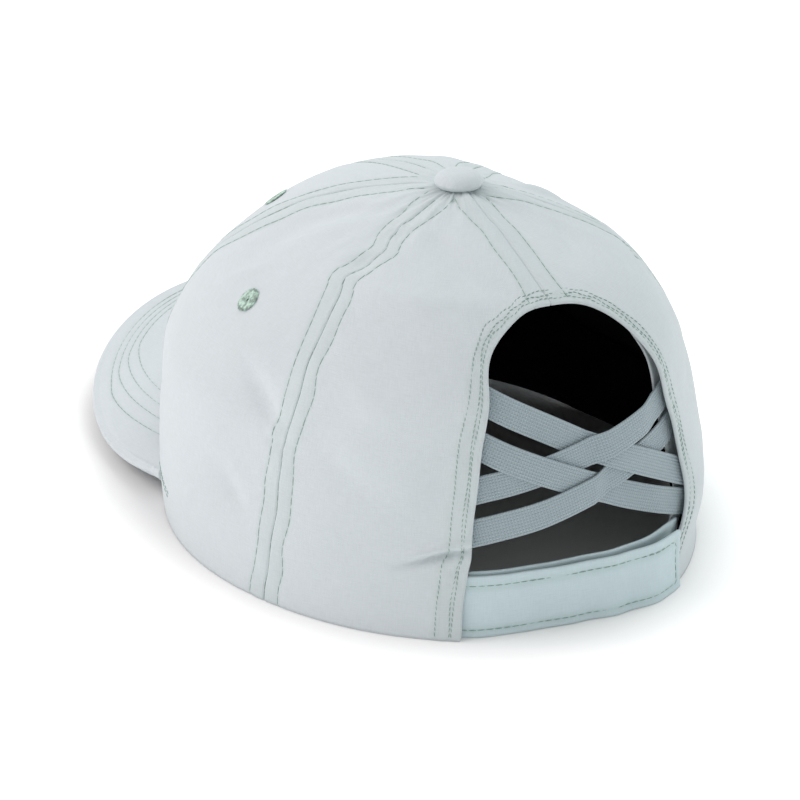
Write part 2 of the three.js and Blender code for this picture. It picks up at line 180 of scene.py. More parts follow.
# Folds and creases pressed into the cloth: a path of angle and level, depth outwards in
# millimetres, width, and the bulge beside it on the left of its path
FOLDS = table(
    "path depth width bulge",
    (((89, 5.96), (70, 5.66), (62, 5.38), (60, 5.0), (62, 4.7)), -0.9, 4.5, 0.4),
    (((76, 4.6), (72, 4.4), (68, 4.2)), 0.35, 2.2, 0),
    (((97, 5.5), (95, 5.3), (93, 5.05)), 0.3, 2, 0),
    (((109, 5.78), (113, 5.74), (118, 5.72), (125, 5.72)), -0.5, 1.6, 0.4),
    (((110, 5.2), (115, 5.24), (121, 5.3)), -0.6, 2.4, 0.3),
    (((109, 4.98), (114, 5.0), (120, 5.06)), 0.5, 1.8, 0),
    (((98, 3.5), (104, 3.24), (110, 2.98), (114, 2.9)), -0.8, 3.4, 0.35),
    (((109, 2.66), (112, 2.62), (116, 2.7)), -0.45, 1.8, 0.25),
    (((136, 5.88), (150, 5.6), (160, 5.32), (168, 5.02)), -0.75, 3.6, 0.3),
    (((118, 4.96), (135, 4.98), (150, 5.02), (164, 5.06)), 0.5, 3.6, 0),
    (((122, 4.5), (136, 4.62), (150, 4.56)), -0.5, 4.6, 0),
    (((144, 1.24), (147, 1.33), (150, 1.42), (155, 1.55)), -1.1, 1.1, 0.9),
    (((149, 1.4), (153, 1.5), (157, 1.58), (161, 1.66)), -1.0, 1.0, 0.6),
    (((96, 1.9), (102, 1.62), (108, 1.36)), -0.6, 3, 0.25),
    (((86, 0.64), (89, 0.9), (93, 1.2)), -0.45, 2.6, 0),
    (((124, 2.9), (132, 2.4), (140, 2.3)), -0.45, 5, 0.3),
    (((128, 3.9), (138, 3.5), (146, 3.4)), 0.4, 4.5, 0),
    (((226, 4.2), (236, 4.6), (250, 4.8), (263, 4.9)), -0.6, 3.6, 0.3),
    (((216, 3.0), (224, 3.3), (233, 3.4)), -0.5, 3.4, 0.2),
    (((214, 1.2), (222, 1.5), (232, 1.5)), -0.6, 3, 0.3),
    (((262, 2.2), (274, 2.7), (288, 2.8)), -0.5, 4.5, 0.2),
    (((300, 4.4), (312, 4.8), (322, 5.2)), -0.5, 3.6, 0.3),
    (((330, 2.2), (340, 2.7), (349, 3.2)), -0.35, 4.5, 0),
    (((14, 3.4), (24, 2.9), (36, 2.6)), -0.35, 4.5, 0),
    (((200, 5.3), (214, 5.5), (228, 5.8)), -0.5, 3.4, 0.3),
    (((266, 5.3), (274, 5.56), (281, 5.8)), 1.2, 2.6, 0),
)

# Seams between the panels: the angle at the rim and above the shoulder
SEAMS = {
    "front": {"rim": 0, "crown": 0},
    "front_side": {"rim": 55, "crown": 43.5},
    "back_side": {"rim": 116, "crown": 116},
    "back": {"rim": 180, "crown": 180},
}
SEAM_SHOULDER = 4
SEAM_STITCH = 5.5

# Places where a seam strays from its line, as degrees round the crown; side 0 is the middle
KINKS = table(
    "seam side level reach shift",
    ("back_side", 1, 5.46, 0.13, 3.6),
    ("back_side", 1, 5.78, 0.16, -1.2),
    ("back_side", 1, 5.0, 0.14, -2.6),
    ("back_side", 1, 4.3, 0.8, 1.5),
    ("back_side", 1, 2.6, 0.3, -0.9),
    ("back", 0, 5.85, 0.14, 1.2),
    ("back_side", -1, 4.9, 0.2, 1.6),
    ("back_side", -1, 2.9, 0.35, -1.1),
    ("front_side", 1, 5.2, 0.25, -1.3),
    ("front_side", -1, 4.6, 0.3, 1.2),
)

# Tacks on the crown beside the brim's ends: angle and level of their two ends
TACKS = table(
    "from to",
    ((64.5, 0.78), (75.5, 0.6)),
    ((66.5, 0.8), (75.8, 0.68)),
    ((-64.5, 0.78), (-75.5, 0.6)),
    ((-66.5, 0.8), (-75.8, 0.68)),
)

# Stitching round the opening: distance of the inner and the outer row from its edge, and how
# far the edge itself strays, at shares of the way from the right rim to the left
HEM = table(
    "share inner outer stray",
    (0.0, 2.3, 6.6, 0.0),
    (0.2, 2.0, 4.6, 0.3),
    (0.34, 1.7, 4.0, -0.2),
    (0.45, 1.3, 3.0, 0.2),
    (0.56, 1.3, 3.0, -0.4),
    (0.625, 1.7, 4.2, 1.1),
    (0.69, 2.3, 6.2, -0.4),
    (0.8, 2.5, 7.0, 0.2),
    (0.888, 2.4, 6.8, -0.1),
    (0.912, 3.0, 8.3, 0.45),
    (0.95, 3.0, 8.2, 0.5),
    (1.0, 3.1, 8.0, 0.1),
)
HEM_DOUBLE = 0.8

# How far the facing stands back from the opening's edge, round it from the right rim
FACING_RUN = table(
    "run back",
    (0.0, 0.6),
    (0.15, 0.8),
    (0.2, 4.6),
    (0.7, 3.6),
    (0.8, 1.4),
    (0.9, 1.7),
    (1.0, 0.9),
)

PANELS = table(
    "name from to side",
    ("panel_front_left", "front", "front_side", 1),
    ("panel_side_left", "front_side", "back_side", 1),
    ("panel_back_left", "back_side", "back", 1),
    ("panel_front_right", "front", "front_side", -1),
    ("panel_side_right", "front_side", "back_side", -1),
    ("panel_back_right", "back_side", "back", -1),
)

WEAVE_ANGLES = (158, 162, 173, 182, 187, 195, 201, 207)
BANDS = table(
    "name left right weave",
    ("elastic_band_1", 3.8, 2.02, (0, -0.2, -1.75, -1.75, 0.55, 0.55, 0.55, 0.55)),
    ("elastic_band_2", 3.14, 1.47, (0, 0.55, 0.55, 0.55, -1.75, -1.75, -0.2, 0)),
    ("elastic_band_3", 2.48, 3.2, (0, -0.55, -0.55, -0.55, 1.75, 1.75, 0.2, 0)),
    ("elastic_band_4", 1.82, 2.68, (0, 0.2, 1.75, 1.75, -0.55, -0.55, -0.55, -0.55)),
)

CLOSURE_PATH = table(
    "angle strap tab",
    (150, 2.7, 4.4),
    (157, 2.7, 4.4),
    (172, 5.2, 7.1),
    (180, 4.6, 7.1),
    (188, 2, 4.6),
    (196, -1, 2.9),
    (212, -1.4, 2.9),
)

EYELETS = table(
    "name angle level",
    ("eyelet_front_left", 29, 4.85),
    ("eyelet_front_right", -29, 4.85),
    ("eyelet_side_left", 84.5, 4.22),
    ("eyelet_side_right", -84.5, 4.22),
)

# Rows of stitching round the brim: distance in from its edge, and the share of the way from
# the brim's middle to its end at which each turns in towards the crown
BRIM_ROWS = table(
    "edge turn",
    (5.9, 0.62),
    (8.3, 0.53),
    (10.7, 0.46),
    (13.0, 0.395),
)
BRIM_TURN = 8.5
BRIM_TURN_SPAN = 0.16

# Camera, in metres
CAMERA_AT = (0.36500, 0.72204, 0.38625)
CAMERA_TO = (-0.00858, -0.00461, 0.01592)
CAMERA_LENS = 120.23

# The lamps look at the cap's middle; places in metres, power in watts
LAMPS = table(
    "name at size power colour",
    ("key", (1.2, -0.5, 1.2), 1.0, 11.5, (1.0, 0.9, 0.91)),
    ("top", (-0.9, -0.2, 1.4), 1.4, 10.4, (0.95, 1.0, 1.0)),
)

# The sky dims from front to back, and is white from a little above the horizon down
SKY_COLOUR = (0.97, 1.0, 1.0, 1)
SKY_BACK = {"From Min": -0.2, "From Max": 0.9, "To Min": 0.7, "To Max": 0.4}
SKY_HORIZON = {"From Min": 0.14, "From Max": 0.25, "To Min": 1.0}
FLOOR_HALF = 6.0
# The floor glows, a painted light, away from the cap, fading in between these shares of the oval round it;
# under and near the cap it doesn't glow, which leaves a painted shadow there
FLOOR_GLOW = 0.45
FLOOR_GLOW_FROM = 0.9
FLOOR_GLOW_TO = 1.25

# Turns a place on the floor into shares of the cap's half width and half length, for the oval of painted
# shadow where the floor doesn't glow
FLOOR_SHADOW_PLAN = (1 / 0.088, 1 / 0.133, 0)

# The button stands on the middle of the crown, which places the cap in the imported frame
button_low, button_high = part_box("top_button")
SHIFT = np.array([
    (button_low[0] + button_high[0]) / 2 / MM,
    (button_low[1] + button_high[1]) / 2 / MM - APEX_BACK,
    0,
])


# The crown's surface

def column(name):
    return np.array([row[name] for row in SECTIONS], float)


def along(name, level, mirror):
    """Smooth curve through one column of the sections; mirror is -1 where it crosses the axis."""
    values = column(name)
    padded = np.concatenate(([2 * values[0] - values[1]], values, [mirror * values[-2]]))
    row = np.clip(np.floor(level), 0, LEVELS - 1).astype(int)
    f = level - row
    a, b, c, d = (padded[row + i] for i in range(4))
    return (2 * b + (c - a) * f + (2 * a - 5 * b + 4 * c - d) * f**2 + (3 * b - a - 3 * c + d) * f**3) / 2


def crown_share(angle, level):
    turn = angle * RADIAN
    front = along("front", level, -1)
    front_side = along("front_side", level, -1)
    back_side = along("back_side", level, -1)
    back = along("back", level, -1)
    return ((front + 2 * front_side + 2 * back_side + back) / 6
            + (front + front_side - back_side - back) / 3 * np.cos(turn)
            + (front - front_side - back_side + back) / 3 * np.cos(2 * turn)
            + (front - 2 * front_side + 2 * back_side - back) / 6 * np.cos(3 * turn))


def rim_radius(angle):
    turn = angle * RADIAN
    return 1 / np.hypot(np.sin(turn) / RIM_HALF_WIDTH, np.cos(turn) / RIM_HALF_LENGTH)


def around(angle):
    """The same angle between -180 and 180."""
    return (angle + 180) % 360 - 180


def crown_point(angle, level):
    angle, level = np.broadcast_arrays(np.asarray(angle, float), np.asarray(level, float))
    turn = angle * RADIAN
    share = crown_share(angle, level)
    radius = share * rim_radius(angle)
    for dent in DENTS:
        away = around(angle - dent["angle"]) / dent["span"]
        above = (level - dent["level"]) / dent["reach"]
        radius = radius + dent["depth"] * np.exp(-away**2 - above**2)
    return np.stack((
        radius * np.sin(turn),
        APEX_BACK * (1 - share) - radius * np.cos(turn),
        CROWN_HEIGHT * along("height", level, 1),
    ), axis=-1)


def unit(vectors):
    return vectors / np.maximum(np.linalg.norm(vectors, axis=-1, keepdims=True), 1e-9)


def crown_normal(angle, level):
    """Outward direction, level with the floor at the rim so that the edge stands flat."""
    step = 0.01
    at = np.clip(level, step, TOP_LEVEL)
    turned = crown_point(angle + step, at) - crown_point(angle - step, at)
    up = crown_point(angle, at + step) - crown_point(angle, at - step)
    normal = unit(np.cross(turned, up))
    normal[..., 2] *= np.minimum(np.asarray(level) / 0.5, 1)
    return unit(normal)


def inside(angle, level, inset):
    inset = np.asarray(inset, float)
    return crown_point(angle, level) - crown_normal(angle, level) * inset[..., None]


def degrees_of(length, angle, level):
    """Degrees round the crown that measure a length at a place."""
    apart = crown_point(angle, level) - crown_point(np.asarray(angle) + 1, level)
    return length / np.linalg.norm(apart, axis=-1)


def lower_edge(angle):
    """Level of the crown's lower edge, which rises over the brim."""
    away = np.abs(around(angle)) / BRIM_SIDE_ANGLE
    return np.where(away < 1, RIM_LIFT * (1 - away**2), 0) / STEP_HEIGHT


def raised(angle, level, top):
    return level + lower_edge(angle) * (1 - level / top)


def seam_angle(name, level):
    seam = SEAMS[name]
    share = np.minimum(level / SEAM_SHOULDER, 1)
    return seam["rim"] + (seam["crown"] - seam["rim"]) * share * (2 - share)


def seam_shift(name, side, level):
    """How far a seam strays from its line, in degrees."""
    side = 0 if name in ("front", "back") else side
    seed = 2.1 * list(SEAMS).index(name) + side
    shift = 0.35 * np.sin(level * 2.7 + seed) + 0.22 * np.sin(level * 6.9 + 3 * seed)
    for kink in KINKS:
        if kink["seam"] == name and kink["side"] == side:
            shift = shift + kink["shift"] * np.exp(-(((level - kink["level"]) / kink["reach"]) ** 2))
    return shift


def opening_half(side, share, margin):
    """Half angle of the opening at a share of its height, grown outwards by a margin."""
    share = np.clip(share, 0, 0.99995)
    tuck = side["tuck"] * np.exp(-((share * OPENING_TOP) ** 2))
    straight = side["rim"] + (side["top"] - side["rim"]) * share ** side["bow"] - tuck
    corner = (1 - share**OPENING_SQUARENESS) ** (1 / OPENING_CORNER)
    grown = margin / rim_radius(180.0) / RADIAN
    return (straight + grown) * corner


def opening_top(margin):
    shoulder = SECTIONS[5]["height"] - SECTIONS[4]["height"]
    return OPENING_TOP + margin / (CROWN_HEIGHT * shoulder)


def opening_share(row):
    """Rows up the opening: even up its sides, then closer together round its top corners."""
    sides = 0.8
    start = math.asin(sides ** (OPENING_SQUARENESS / 2))
    turn = start + (math.pi / 2 - start) * (row - 0.4) / 0.6
    rounded = np.sin(np.maximum(turn, start)) ** (2 / OPENING_SQUARENESS)
    return np.where(row <= 0.4, sides * row / 0.4, rounded)


def opening_path(margin, share):
    """Angle and level at shares of the way from the right rim over the opening to the left."""
    up = np.minimum(opening_share(1 - np.abs(2 * share - 1)), 0.9999)
    right = 180 + opening_half(OPENING_SIDES["right"], up, margin)
    left = 180 - opening_half(OPENING_SIDES["left"], up, margin)
    angle = np.where(share < 0.5, right, left)
    angle = np.where(np.abs(share - 0.5) < 1e-6, 180, angle)
    return angle, opening_top(margin) * up


def smooth_table(rows, key, value, at):
    """A smooth curve through one column of a table against another."""
    return smooth_curve([row[key] for row in rows], [row[value] for row in rows], at)


def smooth_curve(keys, values, at):
    """A smooth curve through values at keys, level at each of them."""
    keys = np.array(keys, float)
    values = np.array(values, float)
    place = np.clip(np.searchsorted(keys, at, side="right") - 1, 0, len(keys) - 2)
    part = np.clip((at - keys[place]) / (keys[place + 1] - keys[place]), 0, 1)
    return values[place] + (values[place + 1] - values[place]) * part**2 * (3 - 2 * part)


def distance_to_line(points, line):
    """Shortest distance from each point to a line of points, and how far along it is met."""
    best = np.full(len(points), 1e9)
    met = np.zeros(len(points))
    run = 0.0
    for a, b in zip(line[:-1], line[1:]):
        way = b - a
        length = np.linalg.norm(way)
        if length < 1e-9:
            continue
        share = np.clip((points - a) @ way / length**2, 0, 1)
        apart = np.linalg.norm(points - a - share[:, None] * way, axis=1)
        closer = apart < best
        best = np.where(closer, apart, best)
        met = np.where(closer, run + share * length, met)
        run += length
    return best, met


OPENING_LINE = crown_point(*opening_path(0, np.linspace(0, 1, OPENING_POINTS)))
OPENING_LENGTH = np.linalg.norm(np.diff(OPENING_LINE, axis=0), axis=1).sum()


def edge_stray(share):
    """How far the opening's edge strays outwards, in millimetres."""
    return (smooth_table(HEM, "share", "stray", share)
            + 0.18 * np.sin(share * 61) + 0.12 * np.sin(share * 23 + 1))


def opening_distance(angle, level):
    """Millimetres outside the edge of the opening, less than zero within it, and the share of
    the way round the edge."""
    points = crown_point(angle, level)
    away, met = distance_to_line(points, OPENING_LINE)
    share = level / OPENING_TOP
    left = opening_half(OPENING_SIDES["left"], share, 0)
    right = opening_half(OPENING_SIDES["right"], share, 0)
    past = around(angle - 180)
    within = (level < OPENING_TOP) & (past < right) & (past > -left)
    share = met / OPENING_LENGTH
    return np.where(within, -away, away) - edge_stray(share), share


# Folds of the cloth

def waves(angle, level, seed, count, low, high, rise):
    """Smooth unevenness that meets itself round the crown, about 1 at its highest."""
    random = np.random.default_rng(seed)
    total = 0
    for _ in range(count):
        turns = random.integers(low, high)
        climb = random.uniform(-rise, rise)
        total = total + np.cos(turns * angle * RADIAN + climb * level + random.uniform(0, 2 * math.pi))
    return total / math.sqrt(count * 2)


def fold_depth(fold, angle, level):
    path = np.array(fold["path"], float)
    middle = path.mean(axis=0)
    across = 1 / degrees_of(1, middle[0], middle[1])
    up = np.linalg.norm(crown_point(middle[0], middle[1] + 0.5) - crown_point(middle[0], middle[1] - 0.5))
    scale = np.array((across, up))
    place = np.stack((around(angle - middle[0]), level - middle[1]), axis=-1) * scale
    line = (path - middle) * scale
    near = np.abs(place).max(axis=1) < np.abs(line).max() + fold["width"] * 4
    depth = np.zeros(len(angle))
    if not near.any():
        return depth
    away, met = distance_to_line(place[near], line)
    whole = np.linalg.norm(np.diff(line, axis=0), axis=1).sum()
    ends = np.sin(np.pi * np.clip(met / whole, 0.04, 0.96)) ** 0.6
    way = line[-1] - line[0]
    left = np.sign(way[0] * (place[near][:, 1] - line[0][1]) - way[1] * (place[near][:, 0] - line[0][0]))
    width = fold["width"]
    pressed = fold["depth"] * np.exp(-((away / width) ** 2))
    pushed = fold["bulge"] * np.exp(-(((left * away - 1.9 * width) / (1.3 * width)) ** 2))
    depth[near] = (pressed + pushed) * ends
    return depth


def relief(angle, level):
    """How far the cloth stands out of its plain surface, in millimetres."""
    settings = bpy.context.scene.cap_sizes
    wide = waves(angle, level, 11, 14, 2, 8, 2.2) * WAVE_DEPTH
    fine = waves(angle, level, 5, 18, 9, 26, 5.5) * RIPPLE_DEPTH
    total = wide + fine
    for fold in FOLDS:
        total = total + FOLD_DEPTH * fold_depth(fold, angle, level)
    at_rim = np.clip(level / 0.7, 0, 1)
    calm_front = np.clip((np.abs(around(angle)) - 40) / 35, 0.25, 1)
    low = np.where(level < 1.8, calm_front, 1)
    return total * settings.fold_strength * at_rim * low


# Building meshes

def grid_faces(columns, rows):
    start = (np.arange(rows)[:, None] * (columns + 1) + np.arange(columns)[None, :]).ravel()
    return np.stack((start, start + 1, start + columns + 2, start + columns + 1), axis=1)


def trim(faces, away, columns):
    """Keeps the faces where away is above zero and cuts the others along the line where it is
    zero. columns are values of each corner, and grow with the corners that the cut makes."""
    kept = away > 0
    whole = kept[faces].all(axis=1)
    crossed = kept[faces].any(axis=1) & ~whole
    result = faces[whole].tolist()
    corners = {}
    pairs = []

    def corner(a, b):
        key = (min(a, b), max(a, b))
        if key not in corners:
            corners[key] = len(away) + len(pairs)
            pairs.append((*key, away[key[0]] / (away[key[0]] - away[key[1]])))
        return corners[key]

    for face in faces[crossed].tolist():
        ring = []
        for a, b in zip(face, face[1:] + face[:1]):
            if kept[a]:
                ring.append(a)
            if kept[a] != kept[b]:
                ring.append(corner(a, b))
        result.append(ring)
    if pairs:
        first, second, share = (np.array(part) for part in zip(*pairs))
        columns = [np.concatenate((v, v[first] + (v[second] - v[first]) * share)) for v in columns]
    used = np.unique(np.concatenate([np.array(face) for face in result]))
    renamed = np.zeros(len(columns[0]), int)
    renamed[used] = np.arange(len(used))
    return [renamed[face].tolist() for face in result], [v[used] for v in columns]


def close_sheets(outer, inner, faces, roll=1.0, steps=4):
    """Points and faces of a closed body between two sheets with the same faces. Its edges
    roll round from one to the other. The last value says which corner each point came from."""
    edges = {}
    for face in faces:
        for a, b in zip(face, face[1:] + face[:1]):
            if (b, a) in edges:
                del edges[(b, a)]
            else:
                edges[(a, b)] = True
    count = len(outer)
    rim = sorted({a for edge in edges for a in edge})
    place = {point: i for i, point in enumerate(rim)}
    through = outer - inner
    thickness = np.linalg.norm(through, axis=1)
    normal = unit(through)
    outward = np.zeros((count, 3))
    for a, b in edges:
        way = np.cross(outer[b] - outer[a], normal[a])
        outward[a] += way
        outward[b] += way
    outward = unit(outward)
    roll = np.broadcast_to(np.asarray(roll, float), (count,))
    middle = (outer[rim] + inner[rim]) / 2
    reach = outward[rim] * (thickness[rim] / 2 * roll[rim])[:, None]
    rings = []
    for step in range(1, steps):
        turn = math.pi * step / steps
        rings.append(middle + (outer[rim] - inner[rim]) / 2 * math.cos(turn) + reach * math.sin(turn))
    points = np.concatenate([outer, inner] + rings)
    walls = []
    for a, b in edges:
        ring_a = [a] + [2 * count + k * len(rim) + place[a] for k in range(steps - 1)] + [count + a]
        ring_b = [b] + [2 * count + k * len(rim) + place[b] for k in range(steps - 1)] + [count + b]
        for k in range(steps):
            walls.append([ring_b[k], ring_a[k], ring_a[k + 1], ring_b[k + 1]])
    back = [[count + i for i in reversed(face)] for face in faces]
    source = np.concatenate((np.arange(count), np.arange(count), np.tile(np.array(rim, int), steps - 1)))
    return points, faces + back + walls, source


def link_mesh(name, points, faces, material, uv=None, fields=None):
    """A shaded object with its place in its mesh, in metres. Cloth that would reach below the
    floor lies flat on it."""
    mesh = bpy.data.meshes.new(name)
    points = points + SHIFT
    points[:, 2] = np.maximum(points[:, 2], 0)
    mesh.from_pydata((points * MM).tolist(), [], faces)
    mesh.polygons.foreach_set("use_smooth", np.ones(len(mesh.polygons), bool))
    if uv is not None:
        layer = mesh.uv_layers.new(name="cloth")
        corner = np.empty(len(mesh.loops), np.int32)
        mesh.loops.foreach_get("vertex_index", corner)
        layer.uv.foreach_set("vector", (uv * MM)[corner].astype(np.float32).ravel())
    for key, values in (fields or {}).items():
        field = mesh.attributes.new(key, "FLOAT", "POINT")
        field.data.foreach_set("value", values.astype(np.float32))
    mesh.materials.append(material)
    mesh.update()
    piece = bpy.data.objects.new(name, mesh)
    bpy.context.scene.collection.objects.link(piece)
    return piece


def settle(piece, slot, *nodes):
    """The piece stands for its solids and moves with the cap."""
    if nodes:
        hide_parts(*nodes)
    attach(piece, "root")


def strip(columns, rows, place):
    """What place says at a grid of shares across and up, with the grid's faces."""
    up, across = np.meshgrid(np.linspace(0, 1, rows + 1), np.linspace(0, 1, columns + 1), indexing="ij")
    return place(across.ravel(), up.ravel()), grid_faces(columns, rows)


def ring_faces(rings, count, closed=False):
    """Faces between rings of points, and from the last ring to the first where closed."""
    faces = []
    for i in range(rings if closed else rings - 1):
        a = i * count
        b = (i + 1) % rings * count
        for j in range(count):
            k = (j + 1) % count
            faces.append([a + j, a + k, b + k, b + j])
    return faces


def lengths_along(points):
    """Distance run along a line of points."""
    return np.concatenate(([0], np.cumsum(np.linalg.norm(np.diff(points, axis=0), axis=1))))


# Materials

class Wire:
    """One output of a shader node, used in sums like a number."""

    def __init__(self, look, socket):
        self.look = look
        self.socket = socket

    def _math(self, kind, other, swapped=False):
        pair = (other, self) if swapped else (self, other)
        return self.look.math(kind, *pair)

    def __add__(self, other):
        return self._math("ADD", other)

    def __sub__(self, other):
        return self._math("SUBTRACT", other)

    def __mul__(self, other):
        return self._math("MULTIPLY", other)

    def __radd__(self, other):
        return self._math("ADD", other, True)

    def __rsub__(self, other):
        return self._math("SUBTRACT", other, True)


class Nodes:
    """A node tree put together node by node."""

    def __init__(self, tree):
        self.tree = tree

    def node(self, kind, inputs, output=0, **settings):
        made = self.tree.nodes.new(kind)
        for key, value in settings.items():
            setattr(made, key, value)
        for key, value in inputs.items():
            self.join(made.inputs[key], value)
        return Wire(self, made.outputs[output])

    def join(self, socket, value):
        if isinstance(value, Wire):
            self.tree.links.new(value.socket, socket)
        else:
            socket.default_value = value

    def math(self, kind, first, second=0.0, third=0.0):
        return self.node("ShaderNodeMath", {0: first, 1: second, 2: third}, operation=kind)

    def part(self, vector, index):
        return self.node("ShaderNodeSeparateXYZ", {0: vector}, index)


class Look(Nodes):
    """A material put together node by node."""

    def __init__(self, name, roughness, sheen=0.0, specular=0.3):
        self.material = bpy.data.materials.new(name)
        self.material.use_nodes = True
        super().__init__(self.material.node_tree)
        self.shader = self.tree.nodes["Principled BSDF"]
        self.shader.inputs["Roughness"].default_value = roughness
        self.shader.inputs["Specular IOR Level"].default_value = specular
        self.shader.inputs["Sheen Weight"].default_value = sheen
        self.shader.inputs["Sheen Roughness"].default_value = 0.6

    def sine(self, value):
        return self.math("SINE", value)

    def smooth(self, value, low, high):
        inputs = {"Value": value, "From Min": low, "From Max": high}
        return self.node("ShaderNodeMapRange", inputs, interpolation_type="SMOOTHSTEP")

    def blend(self, share, first, second):
        inputs = {0: share, 6: first, 7: second}
        return self.node("ShaderNodeMix", inputs, output=2, data_type="RGBA")

    def shade(self, colour, amount):
        """The colour made lighter or darker by a number near 1."""
        plain = colour if isinstance(colour, Wire) else tuple(colour)[:3]
        inputs = {0: plain, "Scale": amount}
        return self.node("ShaderNodeVectorMath", inputs, operation="SCALE")

    def cloth_place(self):
        """Across and along the cloth, in metres."""
        uv = self.node("ShaderNodeUVMap", {}, uv_map="cloth")
        return self.part(uv, 0), self.part(uv, 1), uv

    def object_place(self):
        return self.node("ShaderNodeTexCoord", {}, output=3)

    def field(self, name):
        return self.node("ShaderNodeAttribute", {}, output=2, attribute_name=name)

    def noise(self, place, scale, detail=2.0, roughness=0.5):
        inputs = {"Vector": place, "Scale": scale, "Detail": detail, "Roughness": roughness}
        return self.node("ShaderNodeTexNoise", inputs)

    def stretched(self, place, across, along_it):
        inputs = {0: place, 1: (across, along_it, 1.0)}
        return self.node("ShaderNodeVectorMath", inputs, operation="MULTIPLY")

    def finish(self, colour=None, height=None, distance=0.0001, strength=1.0, roughness=None):
        if colour is not None:
            self.join(self.shader.inputs["Base Color"], colour)
        if roughness is not None:
            self.join(self.shader.inputs["Roughness"], roughness)
        if height is not None:
            inputs = {"Height": height, "Distance": distance, "Strength": strength}
            self.join(self.shader.inputs["Normal"], self.node("ShaderNodeBump", inputs))
        return self.material


def rgba(colour):
    return (colour[0], colour[1], colour[2], 1.0)


def cloth_look(name, colour, thread):
    """Plain-woven cloth with uneven threads, a little greener beside its stitches."""
    look = Look(name, 0.86, sheen=0.12, specular=0.22)
    settings = bpy.context.scene.cap_sizes
    across, up, uv = look.cloth_place()
    turns = 2 * math.pi / settings.thread_pitch
    warp = look.sine(across * turns)
    weft = look.sine(up * turns)
    weave = warp * weft
    slub_across = look.noise(look.stretched(uv, 260.0, 3200.0), 1.0, 2.0)
    slub_up = look.noise(look.stretched(uv, 3200.0, 260.0), 1.0, 2.0)
    slub = slub_across + slub_up - 1.0
    mottle = look.noise(look.object_place(), 34.0, 3.0, 0.55)
    stitched = look.field("stitched")
    tone = 1.0 + weave * 0.015 + slub * 0.13 + (mottle - 0.5) * 0.07
    base = look.blend(stitched * 0.16, rgba(colour), rgba(thread))
    height = weave * 0.35 + slub * 1.4
    return look.finish(look.shade(base, tone), height, 0.00006, 0.55)


def thread_look(name, colour, contrast):
    """Twisted thread, its shades as far apart as the contrast says."""
    look = Look(name, 0.62, sheen=0.1, specular=0.35)
    place = look.object_place()
    tone = look.smooth(look.noise(place, 900.0, 2.0), 0.3, 0.7)
    colour_wire = look.shade(rgba(colour), 0.98 + (tone - 0.56) * contrast)
    return look.finish(colour_wire, look.noise(place, 2600.0, 1.0), 0.00008, 0.6)


def elastic_look(name, colour):
    """Knitted elastic: ribs along the band, with slanted stitches that turn at each rib."""
    look = Look(name, 0.72, sheen=0.15, specular=0.3)
    across, run, uv = look.cloth_place()
    rib = look.math("PINGPONG", across, BAND_WIDTH * MM / 18)
    loops = look.sine((run + rib * 1.1) * (2 * math.pi / 0.0009))
    ridge = look.smooth(rib, 0.0, BAND_WIDTH * MM / 26)
    slub = look.noise(look.stretched(uv, 1500.0, 700.0), 1.0, 2.0)
    height = loops * 0.5 + ridge * 0.6 + slub * 0.5
    tone = 0.84 + loops * 0.13 + ridge * 0.16 + (slub - 0.5) * 0.2
    return look.finish(look.shade(rgba(colour), tone), height, 0.00013, 0.7)


def lining_look(name, colour):
    look = Look(name, 0.95, specular=0.1)
    across, up, _ = look.cloth_place()
    turns = 2 * math.pi / 0.0007
    weave = look.sine(across * turns) * look.sine(up * turns)
    mottle = look.noise(look.object_place(), 60.0, 2.0)
    tone = 0.85 + weave * 0.2 + (mottle - 0.5) * 0.3
    return look.finish(look.shade(rgba(colour), tone), weave, 0.00008, 0.5)


def fastener_look(name, colour):
    """Hook-and-loop tape: a short dense nap."""
    look = Look(name, 0.9, sheen=0.3, specular=0.2)
    place = look.object_place()
    nap = look.noise(place, 2400.0, 3.0, 0.7)
    rows = look.noise(place, 700.0, 1.0)
    tone = 0.8 + (nap - 0.5) * 0.6 + (rows - 0.5) * 0.2
    return look.finish(look.shade(rgba(colour), tone), nap + rows * 0.5, 0.0003, 0.9)


def material(name):
    """A finish of the cap, made the first time it is asked for."""
    if name in bpy.data.materials:
        return bpy.data.materials[name]
    colours = bpy.context.scene.cap_colours
    looks = {
        "mint_cloth": (cloth_look, colours.cloth, colours.thread),
        # The strap's finish is the crown's cloth with a painted shade tint, more teal
        "strap_cloth": (cloth_look, colours.strap, colours.thread),
        "green_thread": (thread_look, colours.thread, 0.36),
        "eyelet_thread": (thread_look, colours.eyelet, 0.8),
        "sweatband_cloth": (lining_look, colours.sweatband),
        "black_lining": (lining_look, colours.lining),
        "blue_grey_elastic": (elastic_look, colours.elastic),
        "hook_tape": (fastener_look, colours.cloth),
    }
    make, *values = looks[name]
    return make(name, *values)


# Stitches, laid by Geometry Nodes

STITCH_INPUTS = (
    ("Geometry", "Geometry", None),
    ("Pitch", "Float", 0.003),
    ("Length", "Float", 0.0026),
    ("Thickness", "Float", 0.0004),
    ("Slant", "Float", 0.0),
    ("Unevenness", "Float", 0.05),
    ("Seed", "Int", 3),
    ("Material", "Material", None),
)


